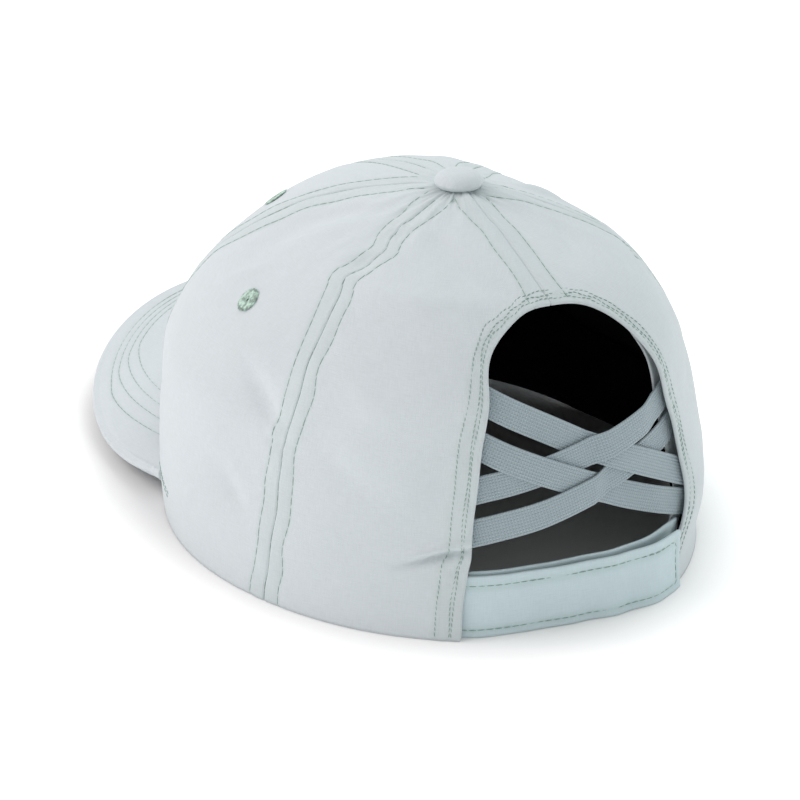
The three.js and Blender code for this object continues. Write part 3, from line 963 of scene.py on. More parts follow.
def stitch_tree():
    """Lays a stitch at every pitch along lines of points. Each point's lift is the way out of the
    cloth there."""
    if "stitch_rows" in bpy.data.node_groups:
        return bpy.data.node_groups["stitch_rows"]
    tree = bpy.data.node_groups.new("stitch_rows", "GeometryNodeTree")
    for name, kind, value in STITCH_INPUTS:
        socket = tree.interface.new_socket(name, in_out="INPUT", socket_type="NodeSocket" + kind)
        if value is not None:
            socket.default_value = value
    tree.interface.new_socket("Geometry", in_out="OUTPUT", socket_type="NodeSocketGeometry")
    laid = Nodes(tree)
    sockets = tree.nodes.new("NodeGroupInput").outputs
    given = {socket.name: Wire(laid, socket) for socket in sockets if socket.name}
    lines = laid.node("GeometryNodeMeshToCurve", {"Mesh": given["Geometry"]})
    spaced = laid.node("GeometryNodeResampleCurve", {"Curve": lines, "Length": given["Pitch"]}, mode="LENGTH")
    grain = laid.node("GeometryNodeMeshUVSphere", {"Segments": 6, "Rings": 5, "Radius": 0.5})
    flat = laid.node("GeometryNodeTransform", {"Geometry": grain, "Rotation": (0, math.pi / 2, 0)})
    thick = given["Thickness"]
    size = laid.node("ShaderNodeCombineXYZ", {"X": given["Length"], "Y": thick, "Z": thick})
    tangent = laid.node("GeometryNodeInputTangent", {})
    along_row = laid.node("FunctionNodeAlignRotationToVector", {"Vector": tangent}, axis="X")
    lift = laid.node("GeometryNodeInputNamedAttribute", {"Name": "lift"}, data_type="FLOAT_VECTOR")
    upright = laid.node("FunctionNodeAlignRotationToVector", {"Rotation": along_row, "Vector": lift},
                        axis="Z", pivot_axis="X")
    slant = laid.node("ShaderNodeCombineXYZ", {"Z": given["Slant"]})
    turned = laid.node("FunctionNodeRotateRotation", {"Rotation": upright, "Rotate By": slant},
                       rotation_space="LOCAL")
    limits = {"Seed": given["Seed"], 2: 1.0 - given["Unevenness"], 3: 1.0 + given["Unevenness"]}
    chance = laid.node("FunctionNodeRandomValue", limits, output=1, data_type="FLOAT")
    sized = laid.node("ShaderNodeVectorMath", {0: size, "Scale": chance}, operation="SCALE")
    inputs = {"Points": spaced, "Instance": flat, "Rotation": turned, "Scale": sized}
    real = laid.node("GeometryNodeRealizeInstances",
                     {"Geometry": laid.node("GeometryNodeInstanceOnPoints", inputs)})
    finish = laid.node("GeometryNodeSetMaterial", {"Geometry": real, "Material": given["Material"]})
    laid.join(tree.nodes.new("NodeGroupOutput").inputs["Geometry"], finish)
    return tree


def lines_mesh(name, rows):
    """A mesh of open lines; rows hold points and the way out of the cloth at each."""
    mesh = bpy.data.meshes.new(name)
    points = np.concatenate([row[0] for row in rows])
    lifts = np.concatenate([row[1] for row in rows])
    edges = []
    start = 0
    for row in rows:
        edges += [(start + i, start + i + 1) for i in range(len(row[0]) - 1)]
        start += len(row[0])
    mesh.from_pydata(((points + SHIFT) * MM).tolist(), edges, [])
    field = mesh.attributes.new("lift", "FLOAT_VECTOR", "POINT")
    field.data.foreach_set("vector", lifts.astype(np.float32).ravel())
    return mesh


def sew(name, rows, finish="green_thread", **sizes):
    """Stitches along rows as one plain mesh."""
    mesh = lines_mesh(name + "_lines", rows)
    guide = bpy.data.objects.new(name + "_lines", mesh)
    bpy.context.scene.collection.objects.link(guide)
    tree = stitch_tree()
    modifier = guide.modifiers.new("stitches", "NODES")
    modifier.node_group = tree
    values = {"Material": material(finish), **sizes}
    for item in tree.interface.items_tree:
        if item.in_out == "INPUT" and item.name in values:
            modifier[item.identifier] = values[item.name]
    settled = guide.evaluated_get(bpy.context.evaluated_depsgraph_get())
    stitched = bpy.data.meshes.new_from_object(settled)
    guide.modifiers.clear()
    bpy.data.objects.remove(guide)
    stitched.name = name
    stitched.polygons.foreach_set("use_smooth", np.ones(len(stitched.polygons), bool))
    piece = bpy.data.objects.new(name, stitched)
    bpy.context.scene.collection.objects.link(piece)
    settle(piece, "thread")
    return piece


# Panels

def panel_edges(panel, level):
    side = panel["side"]
    names = (panel["from"], panel["to"])
    ends = [side * seam_angle(name, level) + seam_shift(name, side, level) for name in names]
    first, last = ends if side > 0 else ends[::-1]
    low = first + degrees_of(GAP / 2, first, level)
    high = last - degrees_of(GAP / 2, last, level)
    return low, high


def seam_relief(away, width, angle, level):
    """Shape of the cloth beside a seam: rolled in at it, full over its allowance and drawn in
    along its row of stitches."""
    room = np.clip(width / 14, 0, 1)
    pucker = waves(angle, level, 23, 18, 3, 50, 12) * 0.2
    rolled = -0.26 * np.exp(-((away / 0.36) ** 2))
    full = 0.07 * np.exp(-(((away - 2.9) / 1.9) ** 2))
    drawn = -0.13 * np.exp(-(((away - stitch_line(level)) / 0.6) ** 2))
    return (rolled + full + drawn + pucker * np.exp(-(((away - 4) / 5) ** 2))) * room


def stitch_line(level):
    """Distance of the row of stitches from its seam."""
    return SEAM_STITCH + 0.3 * np.sin(level * 4.3) + 0.2 * np.sin(level * 9.1 + 1)


def hem_relief(away, share):
    """Shape of the turned hem round the opening, at a distance from its edge."""
    inner = smooth_table(HEM, "share", "inner", share) + HEM_DOUBLE / 2
    outer = smooth_table(HEM, "share", "outer", share)
    turned = 0.3 / (1 + np.exp((away - outer - 1.2) * 2.4))
    drawn = -0.26 * np.exp(-(((away - inner) / 0.8) ** 2)) - 0.22 * np.exp(-(((away - outer) / 0.6) ** 2))
    uneven = np.sin(share * 83) * 0.5 + np.sin(share * 37 + 1.0)
    return turned + drawn + 0.14 * uneven * np.exp(-((away / 7) ** 2))


def eyelet_distance(points, hole):
    away = np.full(len(points), 1e9)
    for eyelet in EYELETS:
        centre = crown_point(eyelet["angle"], eyelet["level"])
        away = np.minimum(away, np.linalg.norm(points - centre, axis=1) - hole)
    return away


def panel_surface(panel, across, level):
    """Angle, level, relief, how far stitches and double cloth tint it, and panel width at places
    on a panel."""
    low, high = panel_edges(panel, level)
    angle = low + (high - low) * across
    up = raised(angle, level, TOP_LEVEL)
    width = (high - low) / degrees_of(1, (low + high) / 2, up)
    from_seam = [across * width, (1 - across) * width]
    shape = relief(angle, up)
    near = np.full(np.shape(angle), 9.0)
    double = np.zeros(np.shape(angle))
    sides = [np.ones(np.shape(angle)), np.ones(np.shape(angle))]
    if panel["to"] == "back":
        hem, share = opening_distance(angle, up)
        hem = np.abs(hem)
        shape = shape + hem_relief(hem, share)
        outer = smooth_table(HEM, "share", "outer", share)
        inner = smooth_table(HEM, "share", "inner", share)
        sides[panel["side"] > 0] = np.clip((hem - outer + 1) / 2, 0, 1)
        near = np.minimum(np.abs(hem - outer), np.abs(hem - inner))
        double = 1 / (1 + np.exp((hem - outer - 0.6) * 3))
    for away, shown in zip(from_seam, sides):
        shape = shape + seam_relief(away, width, angle, up) * shown
        near = np.minimum(near, np.where(shown > 0.5, np.abs(away - stitch_line(up)), 9))
        double = np.maximum(double, shown / (1 + np.exp((away - stitch_line(up) - 0.4) * 3)))
    return angle, up, shape, 0.5 * np.exp(-((near / 0.9) ** 2)) + 0.5 * double, width


def build_panel(panel):
    """A cloth panel, cut to the opening and the eyelets, its edges rolled in at the seams."""
    share = np.linspace(0, 1, PANEL_COLUMNS + 1)
    share = share - 0.78 * np.sin(2 * math.pi * share) / (2 * math.pi)
    rows = np.linspace(0, 1, PANEL_ROWS + 1)
    levels = TOP_LEVEL * (rows + 0.08 * np.sin(2 * math.pi * rows) / math.pi)
    level, across = (v.ravel() for v in np.meshgrid(levels, share, indexing="ij"))
    faces = grid_faces(PANEL_COLUMNS, PANEL_ROWS)
    low, high = panel_edges(panel, level)
    angle = low + (high - low) * across
    up = raised(angle, level, TOP_LEVEL)
    away = eyelet_distance(crown_point(angle, up), EYELET_CUT)
    if panel["to"] == "back":
        away = np.minimum(away, opening_distance(angle, up)[0] - CLOTH / 2)
    faces, (across, level) = trim(faces, away, [across, level])
    angle, up, shape, stitched, width = panel_surface(panel, across, level)
    outer = inside(angle, up, -shape)
    inner = inside(angle, up, CLOTH - shape)
    roll = np.where(np.minimum(across, 1 - across) < 1e-6, 0.35, 1.0)
    points, faces, source = close_sheets(outer, inner, faces, roll=roll)
    middle = crown_point(sum(panel_edges(panel, 0.0)) / 2, levels)
    run = np.interp(level, levels, lengths_along(middle))
    uv = np.stack(((across - 0.5) * width, run), axis=1)
    piece = link_mesh(panel["name"] + "_cloth", points, faces, material("mint_cloth"),
                      uv[source], {"stitched": stitched[source]})
    settle(piece, "cloth", panel["name"])


def seam_rows(panel):
    """Lines of stitching beside the seams of a panel, on top of its cloth."""
    levels = np.linspace(0.12, 6.5, SEAM_POINTS)
    low, high = panel_edges(panel, levels)
    middle = raised((low + high) / 2, levels, TOP_LEVEL)
    width = (high - low) / degrees_of(1, (low + high) / 2, middle)
    rows = []
    for side in (0, 1):
        across = np.abs(side - stitch_line(middle) / width)
        keep = width > 2.3 * SEAM_STITCH
        angle, up, shape, _, _ = panel_surface(panel, across, levels)
        if panel["to"] == "back":
            hem, share = opening_distance(angle, up)
            keep = keep & (hem > smooth_table(HEM, "share", "outer", share))
        points = inside(angle, up, -shape - 0.02)
        if keep.sum() > 4:
            rows.append((points[keep], crown_normal(angle, up)[keep]))
    return rows


def seam_thread(panel):
    """The thread that shows deep in the seam at the start of a panel."""
    levels = np.linspace(0.1, 6.4, SEAM_POINTS)
    low, high = panel_edges(panel, levels)
    angle = (low if panel["side"] > 0 else high) - panel["side"] * degrees_of(GAP / 2, low, levels)
    up = raised(angle, levels, TOP_LEVEL)
    shape = relief(angle, up)
    return inside(angle, up, 0.3 - shape), crown_normal(angle, up)


def hem_row(row, extra):
    """A line of stitching round the opening, a little further out than a row of the table."""
    run = np.linspace(0, 1, HEM_POINTS)
    path = crown_point(*opening_path(0, run))
    share = lengths_along(path) / OPENING_LENGTH
    distance = smooth_table(HEM, "share", row, share) + edge_stray(share) + extra
    distance = distance + 0.15 * np.sin(run * 90 + extra * 3)
    angle, level = opening_path(distance, run)
    keep = level > 0.06
    angle, level = angle[keep], level[keep]
    away, share = opening_distance(angle, level)
    shape = relief(angle, level) + hem_relief(np.abs(away), share)
    return inside(angle, level, -shape - THREAD_LIFT), crown_normal(angle, level)


# Property groups

class CapSizes(bpy.types.PropertyGroup):
    thread_pitch: bpy.props.FloatProperty(
        name="Thread pitch", description="Distance between the threads of the cloth",
        default=0.00052, min=0.0001, unit="LENGTH")
    fold_strength: bpy.props.FloatProperty(
        name="Fold strength", description="How deep the folds of the crown are, 1 as photographed",
        default=1.0, min=0.0, max=2.0, subtype="FACTOR")
    stitch_pitch: bpy.props.FloatProperty(
        name="Stitch pitch", description="Distance from one stitch to the next along the seams",
        default=0.0031, min=0.001, unit="LENGTH")
    stitch_thickness: bpy.props.FloatProperty(
        name="Thread thickness", description="Thickness of the sewing thread",
        default=0.00029, min=0.0001, unit="LENGTH")
    eyelet_threads: bpy.props.IntProperty(
        name="Eyelet threads", description="Threads sewn round each eyelet", default=72, min=8)


def colour_property(name, description, default):
    return bpy.props.FloatVectorProperty(
        name=name, description=description, default=default, subtype="COLOR", size=3, min=0, max=1)


class CapColours(bpy.types.PropertyGroup):
    cloth: colour_property("Cloth", "Colour of the cloth", (0.600, 0.645, 0.665))
    thread: colour_property("Thread", "Colour of the sewing thread", (0.27, 0.40, 0.345))
    elastic: colour_property("Elastic", "Colour of the elastic bands", (0.35, 0.425, 0.46))
    # The closure's cloth is the crown's cloth tinted more teal, the tint the cap's shaded back shows: a
    # painted shade tint
    strap: colour_property("Strap", "Colour of the closure's cloth", (0.59, 0.70, 0.735))
    eyelet: colour_property("Eyelets", "Colour of the eyelets' thread", (0.42, 0.56, 0.48))
    lining: colour_property("Lining", "Colour of the lining", (0.03, 0.03, 0.03))
    sweatband: colour_property("Sweatband", "Colour of the sweatband", (0.012, 0.012, 0.0125))
    floor: colour_property("Floor", "Colour of the floor", (0.8, 0.8, 0.8))


# Operators

class MakePanels(bpy.types.Operator):
    """Make the six cloth panels of the crown"""
    bl_idname = "ponytail_cap.panels"
    bl_label = "Crown panels"

    def execute(self, context):
        for panel in PANELS:
            build_panel(panel)
        return {"FINISHED"}


class MakeLining(bpy.types.Operator):
    """Make the dark lining and the sweatband inside the crown"""
    bl_idname = "ponytail_cap.lining"
    bl_label = "Lining and sweatband"

    def execute(self, context):
        inset = CLOTH + FOLD_ROOM

        def place(across, up):
            level = TOP_LEVEL * (up + 0.08 * np.sin(2 * math.pi * up) / math.pi)
            half = degrees_of(GAP / 2, 180.0, level)
            angle = (-180 + half) + (360 - 2 * half) * across
            return angle, np.maximum(raised(angle, level, TOP_LEVEL), LINING_HEM)

        (angle, level), faces = strip(300, 60, place)
        away = eyelet_distance(crown_point(angle, level), EYELET_BARREL + GAP)
        away = np.minimum(away, opening_distance(angle, level)[0] - FACING_WIDTH - 1)
        faces, (angle, level) = trim(faces, away, [angle, level])
        shape = relief(angle, level)
        outer = inside(angle, level, inset - shape)
        inner = inside(angle, level, inset + LINING - shape)
        points, faces, source = close_sheets(outer, inner, faces, roll=0.8)
        uv = np.stack((around(angle) * 1.6, level * 24), axis=1)
        piece = link_mesh("lining_cloth", points, faces, material("black_lining"), uv[source])
        settle(piece, "lining", "lining")

        band_inset = inset + LINING + 2 * FOLD_ROOM
        grown = (FACING_WIDTH + 2) / float(rim_radius(180.0)) / RADIAN
        first = -180 + OPENING_SIDES["right"]["rim"] + grown
        last = 180 - OPENING_SIDES["left"]["rim"] - grown

        def round_rim(across, up):
            angle = first + (last - first) * across
            low = lower_edge(angle) * (1 - SWEATBAND_DROP)
            top = SWEATBAND_TOP + lower_edge(angle) * 0.7
            return angle, low + (top - low) * up, up

        (angle, level, up), faces = strip(260, 18, round_rim)
        padded = 0.35 * np.sin(math.pi * up) ** 0.5
        drawn = 0.3 * np.exp(-(((up - 0.9) / 0.03) ** 2))
        outer = inside(angle, level, np.full(len(angle), band_inset))
        inner = inside(angle, level, band_inset + SWEATBAND - 0.35 + padded - drawn)
        points, faces, source = close_sheets(outer, inner, faces.tolist(), roll=1.0)
        uv = np.stack((angle * 1.6, up * 32), axis=1)
        piece = link_mesh("sweatband_cloth", points, faces, material("sweatband_cloth"), uv[source])
        settle(piece, "lining", "sweatband")
        return {"FINISHED"}


class MakeFacing(bpy.types.Operator):
    """Make the cloth strip inside the edge of the opening"""
    bl_idname = "ponytail_cap.facing"
    bl_label = "Opening facing"

    def execute(self, context):
        rise = table("level inset", (4.15, FACING_DEEP), (4.75, FACING_TIGHT))

        def place(run, across):
            back = smooth_table(FACING_RUN, "run", "back", run)
            margin = back + (FACING_WIDTH - back) * (1 - across)
            angle, level = opening_path(margin, run)
            return angle, np.maximum(level, LINING_HEM), margin, run

        (angle, level, margin, run), faces = strip(240, 14, place)
        edge = smooth_table(FACING_RUN, "run", "back", run)
        near = np.minimum(np.abs(margin - edge - FACING_STITCH),
                          np.abs(margin - FACING_WIDTH + FACING_TOP_STITCH))
        drawn = 0.2 * np.exp(-((near / 0.8) ** 2))
        shape = relief(angle, level)
        inset = smooth_table(rise, "level", "inset", level)
        outer = inside(angle, level, inset - shape)
        inner = inside(angle, level, inset + FACING - shape - drawn)
        points, faces, source = close_sheets(outer, inner, faces.tolist(), roll=1.0)
        uv = np.stack((margin, run * 250), axis=1)
        piece = link_mesh("opening_facing_cloth", points, faces, material("mint_cloth"),
                          uv[source], {"stitched": np.exp(-((near / 1.5) ** 2))[source]})
        settle(piece, "cloth", "opening_facing")
        rows = []
        run = np.linspace(0, 1, FACING_POINTS)
        back = smooth_table(FACING_RUN, "run", "back", run)
        for distance in (back + FACING_STITCH, np.full(FACING_POINTS, FACING_WIDTH - FACING_TOP_STITCH)):
            angle, level = opening_path(distance, run)
            keep = level > 0.2
            angle, level = angle[keep], level[keep]
            face = smooth_table(rise, "level", "inset", level) + FACING - relief(angle, level) - 0.15
            rows.append((inside(angle, level, face), -crown_normal(angle, level)))
        sew("facing_stitches", rows, Pitch=0.0026, Length=0.0023, Thickness=0.00042)
        return {"FINISHED"}


def band_middle(band, share):
    left = 180 - opening_half(OPENING_SIDES["left"], np.array(band["left"] / OPENING_TOP), 0)
    right = 180 + opening_half(OPENING_SIDES["right"], np.array(band["right"] / OPENING_TOP), 0)
    return left + (right - left) * share, band["left"] + (band["right"] - band["left"]) * share


def build_band(band):
    """A ribbed band with rounded edges, swept along its line and woven over and under the rest."""
    inset = CLOTH + 2.3 * FOLD_ROOM + BAND / 2
    reach = BAND_TUCK / (2 * RIM_HALF_WIDTH * math.sin(OPENING_SIDES["left"]["rim"] * RADIAN))
    share = -reach + (1 + 2 * reach) * np.linspace(0, 1, BAND_STATIONS)
    angle, level = band_middle(band, share)
    next_angle, next_level = band_middle(band, share + 0.01)
    here = inside(angle, level, np.full(BAND_STATIONS, inset))
    ahead = inside(next_angle, next_level, np.full(BAND_STATIONS, inset))
    normal = crown_normal(angle, level)
    side = unit(np.cross(normal, ahead - here))
    run = lengths_along(here)
    turn = np.linspace(0, 2 * math.pi, BAND_POINTS + 1)[:-1]
    across = np.sign(np.cos(turn)) * np.abs(np.cos(turn)) ** 0.7 * BAND_WIDTH / 2
    through = np.sign(np.sin(turn)) * np.abs(np.sin(turn)) ** 0.22 * BAND / 2
    rib = 0.09 * np.abs(np.cos(across / BAND_WIDTH * 9 * math.pi)) - 0.05
    through = through + np.sign(through) * rib * (np.abs(np.sin(turn)) > 0.25)
    points = here[:, None, :] + side[:, None, :] * across[None, :, None]
    at = (np.arctan2(points[..., 0], -points[..., 1]) / RADIAN + 360) % 360
    span = WEAVE_ANGLES[-1] - WEAVE_ANGLES[0]
    open_share = np.clip((at - WEAVE_ANGLES[0]) / span, 0, 1)
    pull = BAND_PULL * np.sin(math.pi * open_share) ** 2
    out = smooth_curve(WEAVE_ANGLES, band["weave"], at) - pull + through[None, :]
    points = points + normal[:, None, :] * out[..., None]
    points = points.reshape(-1, 3)
    faces = ring_faces(BAND_STATIONS, BAND_POINTS)
    faces.append(list(reversed(range(BAND_POINTS))))
    faces.append(list(range(len(points) - BAND_POINTS, len(points))))
    uv = np.stack((np.tile(across + BAND_WIDTH / 2, BAND_STATIONS), np.repeat(run, BAND_POINTS)), axis=1)
    piece = link_mesh(band["name"] + "_knit", points, faces, material("blue_grey_elastic"), uv)
    settle(piece, "elastic", band["name"])


class MakeBands(bpy.types.Operator):
    """Make the four woven elastic bands"""
    bl_idname = "ponytail_cap.bands"
    bl_label = "Elastic bands"

    def execute(self, context):
        for band in BANDS:
            build_band(band)
        return {"FINISHED"}


def closure_inset(name, angle):
    return smooth_table(CLOSURE_PATH, "angle", name, angle)


def strap_relief(run, whole, up, height):
    """Shape of the strap: turned edges and a box of stitches, with a soft unevenness."""
    side = np.minimum(up * height, (1 - up) * height)
    end = whole - run
    box = np.minimum(side, end)
    drawn = -0.22 * np.exp(-(((box - STRAP_ROWS) / 0.7) ** 2))
    uneven = 0.1 * np.sin(run / 5.3) * np.sin(up * 5 + run / 11) + 0.06 * np.sin(run / 2.1 + up * 3)
    return drawn + uneven, box


def closure_run(column_name, start, end):
    """Angles along a strap, and the length run up to each."""
    path = np.linspace(start, end, STRAP_POINTS)
    half_up = np.full(STRAP_POINTS, 0.5)
    return path, lengths_along(inside(path, half_up, closure_inset(column_name, path)))


def closure_piece(name, replaced, column_name, start, end, bottom, top, columns, rows):
    def place(across, up):
        angle = start + (end - start) * across
        return angle, bottom + (top - bottom) * up, up

    (angle, level, up), faces = strip(columns, rows, place)
    path, whole = closure_run(column_name, start, end)
    run = np.interp(angle, path, whole)
    height = (top - bottom) * STEP_HEIGHT
    shape, box = strap_relief(run, whole[-1], up, height)
    inset = closure_inset(column_name, angle)
    outer = inside(angle, level, inset - STRAP / 2 - shape)
    inner = inside(angle, level, inset + STRAP / 2 - shape)
    points, faces, source = close_sheets(outer, inner, faces.tolist(), roll=1.0)
    uv = np.stack((run, up * height), axis=1)
    stitched = np.exp(-(((box - STRAP_ROWS) / 1.5) ** 2))
    piece = link_mesh(name, points, faces, material("strap_cloth"), uv[source],
                      {"stitched": stitched[source]})
    settle(piece, "cloth", replaced)


def closure_line(column_name, start, end, bottom, top):
    """Rows of stitches along the bottom, the end and the top of a strap."""
    path, whole = closure_run(column_name, start, end)
    height = (top - bottom) * STEP_HEIGHT
    share = STRAP_ROWS / height
    stop = np.interp(whole[-1] - STRAP_ROWS, whole, path)
    there = np.linspace(start, stop, 160)
    up_end = np.linspace(share, 1 - share, 20)
    angle = np.concatenate((there, np.full(18, stop), there[::-1]))
    up = np.concatenate((np.full(160, share), up_end[1:-1], np.full(160, 1 - share)))
    run = np.interp(angle, path, whole)
    shape, _ = strap_relief(run, whole[-1], up, height)
    level = bottom + (top - bottom) * up
    inset = closure_inset(column_name, angle)
    points = inside(angle, level, inset - STRAP / 2 - shape - 0.06)
    return points, crown_normal(angle, level)


class MakeClosure(bpy.types.Operator):
    """Make the strap, the tab under it and the hook-and-loop tape between them"""
    bl_idname = "ponytail_cap.closure"
    bl_label = "Strap closure"

    def execute(self, context):
        closure_piece("closure_strap_cloth", "closure_strap", "strap", STRAP_FROM, STRAP_TO,
                      0, STRAP_TOP, 200, 26)
        closure_piece("closure_tab_cloth", "closure_tab", "tab", TAB_FROM, TAB_TO,
                      LINING_HEM, STRAP_TOP + 0.05, 110, 26)

        def place(across, up):
            angle = FASTENER_FROM + (FASTENER_TO - FASTENER_FROM) * across
            return angle, 0.15 + (STRAP_TOP - 0.3) * up

        (angle, level), faces = strip(60, 24, place)
        outer = inside(angle, level, closure_inset("strap", angle) + STRAP / 2 + GAP)
        inner = inside(angle, level, closure_inset("tab", angle) - STRAP / 2 - GAP)
        points, faces, _ = close_sheets(outer, inner, faces.tolist(), roll=0.3)
        piece = link_mesh("closure_fastener_tape", points, faces, material("hook_tape"))
        settle(piece, "cloth", "closure_fastener")
        rows = [closure_line("strap", 156.5, STRAP_TO, 0, STRAP_TOP)]
        sew("strap_stitches", rows, Pitch=0.0026, Length=0.0023, Thickness=0.00031)
        return {"FINISHED"}


def brim_place(across, inward, up):
    """Point of the brim at shares across it, in from its edge and up through it."""
    angle = BRIM_SIDE_ANGLE * (2 * across - 1)
    sweep = BRIM_SWEEP * (2 * across - 1)
    turn = sweep * RADIAN
    reach = np.where(np.abs(sweep) > 90, BRIM_CORNER_BACK, BRIM_REACH)
    edge_x = BRIM_HALF_WIDTH * np.sin(turn)
    edge_y = BRIM_WIDEST_Y - reach * np.cos(turn)
    low = lower_edge(angle) + 2 * GAP / STEP_HEIGHT + 0.06
    rise = np.maximum(BRIM_THICKNESS, BRIM_END_TOP - low * STEP_HEIGHT)
    end = np.clip(np.minimum(across, 1 - across) / BRIM_UNDER, 0, 1)
    tucked = (1 - BRIM_THICKNESS / rise) * (1 - end * end * (3 - 2 * end))
    root = inside(angle, low + rise / STEP_HEIGHT * (up + (1 - up) * tucked), np.full(len(angle), -0.1))
    x = edge_x + (root[:, 0] - edge_x) * inward
    y = edge_y + (root[:, 1] - edge_y) * inward
    past = np.maximum(np.abs(sweep) - BRIM_LIFT_FROM, 0) / (BRIM_SWEEP - BRIM_LIFT_FROM)
    lift = BRIM_END_LIFT * past**2
    arch = BRIM_CENTRE_RISE - BRIM_ARCH * (x / BRIM_HALF_WIDTH) ** 2 + lift
    thin = 0.6 + 0.4 * np.clip(inward / 0.2, 0, 1)
    level = arch + BRIM_THICKNESS * thin * (up - 0.5)
    return np.stack((x, y, level + (root[:, 2] - level) * inward**2), axis=1)


def brim_edge_distance(points):
    """Distance in from the brim's outer edge, seen from above."""
    across = np.linspace(0, 1, 241)
    line = brim_place(across, np.zeros(241), np.full(241, 0.5))[:, :2]
    return distance_to_line(points[:, :2], line)


def brim_row(row, across):
    """Distance in from the edge at which a row of stitches runs, at shares across the brim."""
    past = np.maximum(np.abs(2 * across - 1) - row["turn"], 0) / BRIM_TURN_SPAN
    return row["edge"] + BRIM_TURN * past**1.5


def brim_near(across, away):
    """Distance from the nearest row of stitches."""
    return np.min([np.abs(away - brim_row(row, across)) for row in BRIM_ROWS], axis=0)


def brim_relief(across, away, met):
    drawn = -0.16 * np.exp(-((brim_near(across, away) / 0.6) ** 2))
    seam = -0.12 * np.exp(-(((away - 1.6) / 0.5) ** 2))
    return drawn + seam + 0.1 * np.sin(met / 17) * np.cos(away / 9)


class MakeBrim(bpy.types.Operator):
    """Make the arched brim with its rows of stitching"""
    bl_idname = "ponytail_cap.brim"
    bl_label = "Brim"

    def execute(self, context):
        columns, rows = 260, 70
        across = np.linspace(0, 1, columns + 1)
        inward = np.linspace(0, 1, rows + 1)
        inward = inward * 0.985 + 0.012
        deep, wide = (v.ravel() for v in np.meshgrid(inward, across, indexing="ij"))
        faces = grid_faces(columns, rows)
        sheets = []
        for up, sign in ((1.0, 1), (0.0, -1)):
            points = brim_place(wide, deep, np.full(len(wide), up))
            away, met = brim_edge_distance(points)
            points[:, 2] += sign * brim_relief(wide, away, met)
            sheets.append(points)
        top, under = sheets
        away, _ = brim_edge_distance(top)
        near = brim_near(wide, away) / 0.9
        thickness = np.linalg.norm(top - under, axis=1)
        roll = np.where(deep > 0.97, 0.0, np.minimum(1.0, 1.8 / thickness))
        points, faces, source = close_sheets(top, under, faces.tolist(), roll=roll, steps=6)
        uv = top[:, :2]
        piece = link_mesh("brim_cloth", points, faces, material("mint_cloth"), uv[source],
                          {"stitched": 0.6 * np.exp(-(near**2))[source]})
        settle(piece, "cloth", "brim")

        lines = []
        steps = 61
        across = np.linspace(0.004, 0.996, 321)
        inward = np.linspace(0.012, 0.97, steps)
        deep, wide = (v.ravel() for v in np.meshgrid(inward, across, indexing="ij"))
        for up, sign in ((1.0, 1), (0.0, -1)):
            points = brim_place(wide, deep, np.full(len(wide), up))
            away, _ = brim_edge_distance(points)
            for row in BRIM_ROWS:
                past = (away - brim_row(row, wide)).reshape(steps, len(across))
                line_across, line_in = [], []
                for i in range(len(across)):
                    beyond = np.nonzero(past[:, i] > 0)[0]
                    if len(beyond) and beyond[0] > 0:
                        j = beyond[0]
                        part = past[j - 1, i] / (past[j - 1, i] - past[j, i])
                        line_across.append(across[i])
                        line_in.append(inward[j - 1] + (inward[j] - inward[j - 1]) * part)
                place = brim_place(np.array(line_across), np.array(line_in), np.full(len(line_in), up))
                place[:, 2] += sign * -0.12
                lift = np.tile(np.array((0.0, 0.0, float(sign))), (len(place), 1))
                lines.append((place, lift))
        sew("brim_stitches", lines, Pitch=0.0031, Length=0.0029, Thickness=0.00024)
        return {"FINISHED"}


class MakeButton(bpy.types.Operator):
    """Make the cloth-covered button on top"""
    bl_idname = "ponytail_cap.button"
    bl_label = "Top button"

    def execute(self, context):
        apex = crown_point(0.0, float(LEVELS))
        low = -CLOTH - LINING - 2 * GAP
        profile = [(0.0, low), (BUTTON_STEM, low), (BUTTON_STEM, GAP - 0.2), (BUTTON_RADIUS * 0.6, GAP - 0.3),
                   (BUTTON_RADIUS - 0.9, GAP - 0.2)]
        steps = 26
        for i in range(steps):
            turn = i / steps * math.pi / 2
            out = BUTTON_RADIUS * math.cos(turn) ** 0.62
            profile.append((out, GAP + 1.1 + (BUTTON_HEIGHT - 1.1) * math.sin(turn) ** 1.3))
        turn = np.linspace(0, 2 * math.pi, BUTTON_POINTS + 1)[:-1]
        points = []
        for radius, height in profile:
            share = radius / BUTTON_RADIUS
            gather = 0.1 * share**3 * np.sin(turn * 14) * (height < 2.4) + 0.07 * share * np.sin(turn * 5 + 1)
            points.append(np.stack((
                apex[0] + (radius + gather) * np.sin(turn),
                apex[1] - (radius + gather) * np.cos(turn),
                np.full(BUTTON_POINTS, apex[2] + height) + 0.06 * np.sin(turn * 3) * share,
            ), axis=1))
        points = np.concatenate(points + [np.array([[apex[0], apex[1], apex[2] + GAP + BUTTON_HEIGHT]])])
        faces = ring_faces(len(profile), BUTTON_POINTS)
        last = (len(profile) - 1) * BUTTON_POINTS
        tip = len(points) - 1
        faces += [[last + j, last + (j + 1) % BUTTON_POINTS, tip] for j in range(BUTTON_POINTS)]
        faces.append(list(reversed(range(BUTTON_POINTS))))
        points[:BUTTON_POINTS] = (points[BUTTON_POINTS:2 * BUTTON_POINTS] + points[:BUTTON_POINTS]) / 2
        uv = points[:, :2]
        piece = link_mesh("top_button_cloth", points, faces, material("mint_cloth"), uv)
        settle(piece, "cloth", "top_button")
        return {"FINISHED"}


def tack_row(tack):
    """A short line of stitches on the crown, from one place to another."""
    share = np.linspace(0, 1, 12)
    angle = tack["from"][0] + (tack["to"][0] - tack["from"][0]) * share
    level = tack["from"][1] + (tack["to"][1] - tack["from"][1]) * share
    return inside(angle, level, -relief(angle, level) - THREAD_LIFT), crown_normal(angle, level)


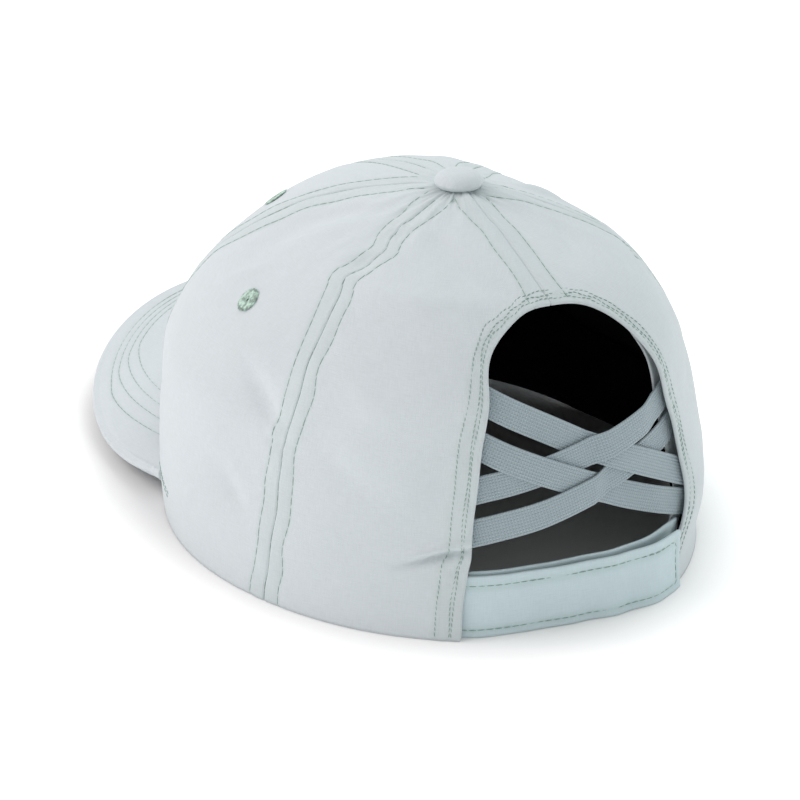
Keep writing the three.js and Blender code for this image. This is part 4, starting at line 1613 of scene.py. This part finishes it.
class MakeEyelets(bpy.types.Operator):
    """Make the four sewn eyelets, where each thread is one stitch on a short line"""
    bl_idname = "ponytail_cap.eyelets"
    bl_label = "Sewn eyelets"

    def execute(self, context):
        count = context.scene.cap_sizes.eyelet_threads
        for eyelet in EYELETS:
            centre = crown_point(eyelet["angle"], eyelet["level"])
            normal = crown_normal(np.array(eyelet["angle"], float), np.array(eyelet["level"], float))
            first = unit(np.cross((0.0, 0.0, 1.0), normal))
            second = np.cross(normal, first)
            lift = float(relief(np.array([eyelet["angle"]], float), np.array([eyelet["level"]], float))[0])
            centre = centre + normal * lift
            turn = np.linspace(0, 2 * math.pi, 49)[:-1]
            profile = ((EYELET_HOLE, -2.2), (EYELET_BARREL, -2.2), (EYELET_BARREL, 0.0),
                       (EYELET_RADIUS - 0.5, 0.02), (EYELET_RADIUS - 0.5, 0.25), (3.0, 0.5), (2.0, 0.52),
                       (1.3, 0.3), (EYELET_HOLE, -0.3))
            ring = np.cos(turn)[:, None] * first + np.sin(turn)[:, None] * second
            points = np.concatenate([centre + ring * radius + normal * height for radius, height in profile])
            faces = ring_faces(len(profile), len(turn), closed=True)
            piece = link_mesh(eyelet["name"] + "_base", points, faces, material("eyelet_thread"))
            settle(piece, "thread", eyelet["name"])
            rows = []
            random = np.random.default_rng(17)
            for i in range(count):
                way_turn = 2 * math.pi * i / count
                way = math.cos(way_turn) * first + math.sin(way_turn) * second
                end = EYELET_RADIUS + random.uniform(-0.35, 0.25)
                middle = centre + way * (EYELET_THREAD_FROM + end) / 2 + normal * EYELET_THREAD_LIFT
                rows.append((np.stack((middle, middle + way * 0.05)), np.tile(normal, (2, 1))))
            sew(eyelet["name"] + "_threads", rows, "eyelet_thread", Pitch=0.01, Length=0.0037,
                Thickness=0.00033, Unevenness=0.14)
        return {"FINISHED"}


class SewCrown(bpy.types.Operator):
    """Sew the rows beside the crown's seams and round the opening"""
    bl_idname = "ponytail_cap.crown_stitches"
    bl_label = "Crown stitches"

    def execute(self, context):
        sizes = context.scene.cap_sizes
        for panel in PANELS:
            sew(panel["name"] + "_stitches", seam_rows(panel), Pitch=sizes.stitch_pitch,
                Length=sizes.stitch_pitch * 0.97, Thickness=sizes.stitch_thickness)
            sew(panel["name"] + "_seam_thread", [seam_thread(panel)], Pitch=sizes.stitch_pitch,
                Length=sizes.stitch_pitch * 0.98, Thickness=sizes.stitch_thickness * 0.85)
        sew("brim_end_tacks", [tack_row(tack) for tack in TACKS], Pitch=0.0026, Length=0.0024,
            Thickness=0.00034)
        for number, (row, extra) in enumerate((("inner", 0.0), ("inner", HEM_DOUBLE), ("outer", 0.0))):
            sew("opening_stitches_" + str(number + 1), [hem_row(row, extra)], Pitch=0.0016,
                Length=0.0013, Thickness=0.00031, Slant=0.2 - 0.36 * (number % 2), Seed=number)
        return {"FINISHED"}


def pale_sky(tree):
    """White at the horizon, and above it dimmer towards the back of the cap."""
    sky = Nodes(tree)
    way = sky.node("ShaderNodeTexCoord", {})
    dimmed = sky.node("ShaderNodeMapRange", {"Value": sky.part(way, 1), **SKY_BACK})
    inputs = {"Value": sky.part(way, 2), "To Max": dimmed, **SKY_HORIZON}
    background = tree.nodes["Background"]
    sky.join(background.inputs["Color"], SKY_COLOUR)
    sky.join(background.inputs["Strength"], sky.node("ShaderNodeMapRange", inputs))


def aimed(name, data, at, towards):
    """An object for a lamp or a camera at one place that looks towards another."""
    made = bpy.data.objects.new(name, data)
    made.location = at
    made.rotation_mode = "QUATERNION"
    made.rotation_quaternion = (Vector(towards) - Vector(at)).to_track_quat("-Z", "Y")
    bpy.context.scene.collection.objects.link(made)
    return made


class MakeStage(bpy.types.Operator):
    """Make the floor, the lights and the camera"""
    bl_idname = "ponytail_cap.stage"
    bl_label = "Stage"

    def execute(self, context):
        scene = context.scene
        mesh = bpy.data.meshes.new("floor")
        corners = ((-1, -1), (1, -1), (1, 1), (-1, 1))
        mesh.from_pydata([(x * FLOOR_HALF, y * FLOOR_HALF, -0.0002) for x, y in corners], [], [(0, 1, 2, 3)])
        look = Look("pale_floor", 0.9, specular=0.1)
        colours = scene.cap_colours
        shade = look.shade(rgba(colours.floor), 0.995 + (look.noise(look.object_place(), 40.0) - 0.5) * 0.01)
        # Painted light and shadow: the floor glows outside an oval round the cap and not within it, so it
        # shows white there and shaded round the cap
        inputs = {0: look.object_place(), 1: FLOOR_SHADOW_PLAN}
        plan = look.node("ShaderNodeVectorMath", inputs, operation="MULTIPLY")
        out = look.node("ShaderNodeVectorMath", {0: plan}, 1, operation="LENGTH")
        look.join(look.shader.inputs["Emission Color"],
                  look.blend(look.smooth(out, FLOOR_GLOW_FROM, FLOOR_GLOW_TO), (0, 0, 0, 1), (1, 1, 1, 1)))
        look.shader.inputs["Emission Strength"].default_value = FLOOR_GLOW
        mesh.materials.append(look.finish(shade))
        floor = bpy.data.objects.new("floor", mesh)
        scene.collection.objects.link(floor)

        world = bpy.data.worlds.new("studio")
        world.use_nodes = True
        pale_sky(world.node_tree)
        scene.world = world
        for lamp in LAMPS:
            light = bpy.data.lights.new(lamp["name"], "AREA")
            light.color = lamp["colour"]
            light.energy = lamp["power"]
            light.size = lamp["size"]
            aimed(lamp["name"], light, lamp["at"], (0, 0, 0))

        camera = bpy.data.cameras.new("camera")
        camera.lens = CAMERA_LENS
        camera.sensor_width = 36
        scene.camera = aimed("camera", camera, CAMERA_AT, CAMERA_TO)
        scene.view_settings.view_transform = "Standard"
        return {"FINISHED"}


OPERATORS = (MakeStage, MakePanels, MakeLining, MakeFacing, MakeBands, MakeClosure, MakeBrim,
             MakeButton, MakeEyelets, SewCrown)


class CapPanel(bpy.types.Panel):
    """The cap's sizes, colours and pieces"""
    bl_idname = "VIEW3D_PT_ponytail_cap"
    bl_label = "Ponytail cap"
    bl_space_type = "VIEW_3D"
    bl_region_type = "UI"
    bl_category = "Ponytail cap"

    def draw(self, context):
        layout = self.layout
        for group in (context.scene.cap_sizes, context.scene.cap_colours):
            for name in group.bl_rna.properties.keys():
                if name not in ("rna_type", "name"):
                    layout.prop(group, name)
        for operator in OPERATORS:
            layout.operator(operator.bl_idname)


CLASSES = (CapSizes, CapColours, *OPERATORS, CapPanel)


def register():
    for item in CLASSES:
        bpy.utils.register_class(item)
    bpy.types.Scene.cap_sizes = bpy.props.PointerProperty(type=CapSizes)
    bpy.types.Scene.cap_colours = bpy.props.PointerProperty(type=CapColours)


def unregister():
    del bpy.types.Scene.cap_sizes
    del bpy.types.Scene.cap_colours
    for item in reversed(CLASSES):
        bpy.utils.unregister_class(item)


def main():
    register()
    for operator in OPERATORS:
        group, name = operator.bl_idname.split(".")
        getattr(getattr(bpy.ops, group), name)()


if __name__ == "__main__":
    main()
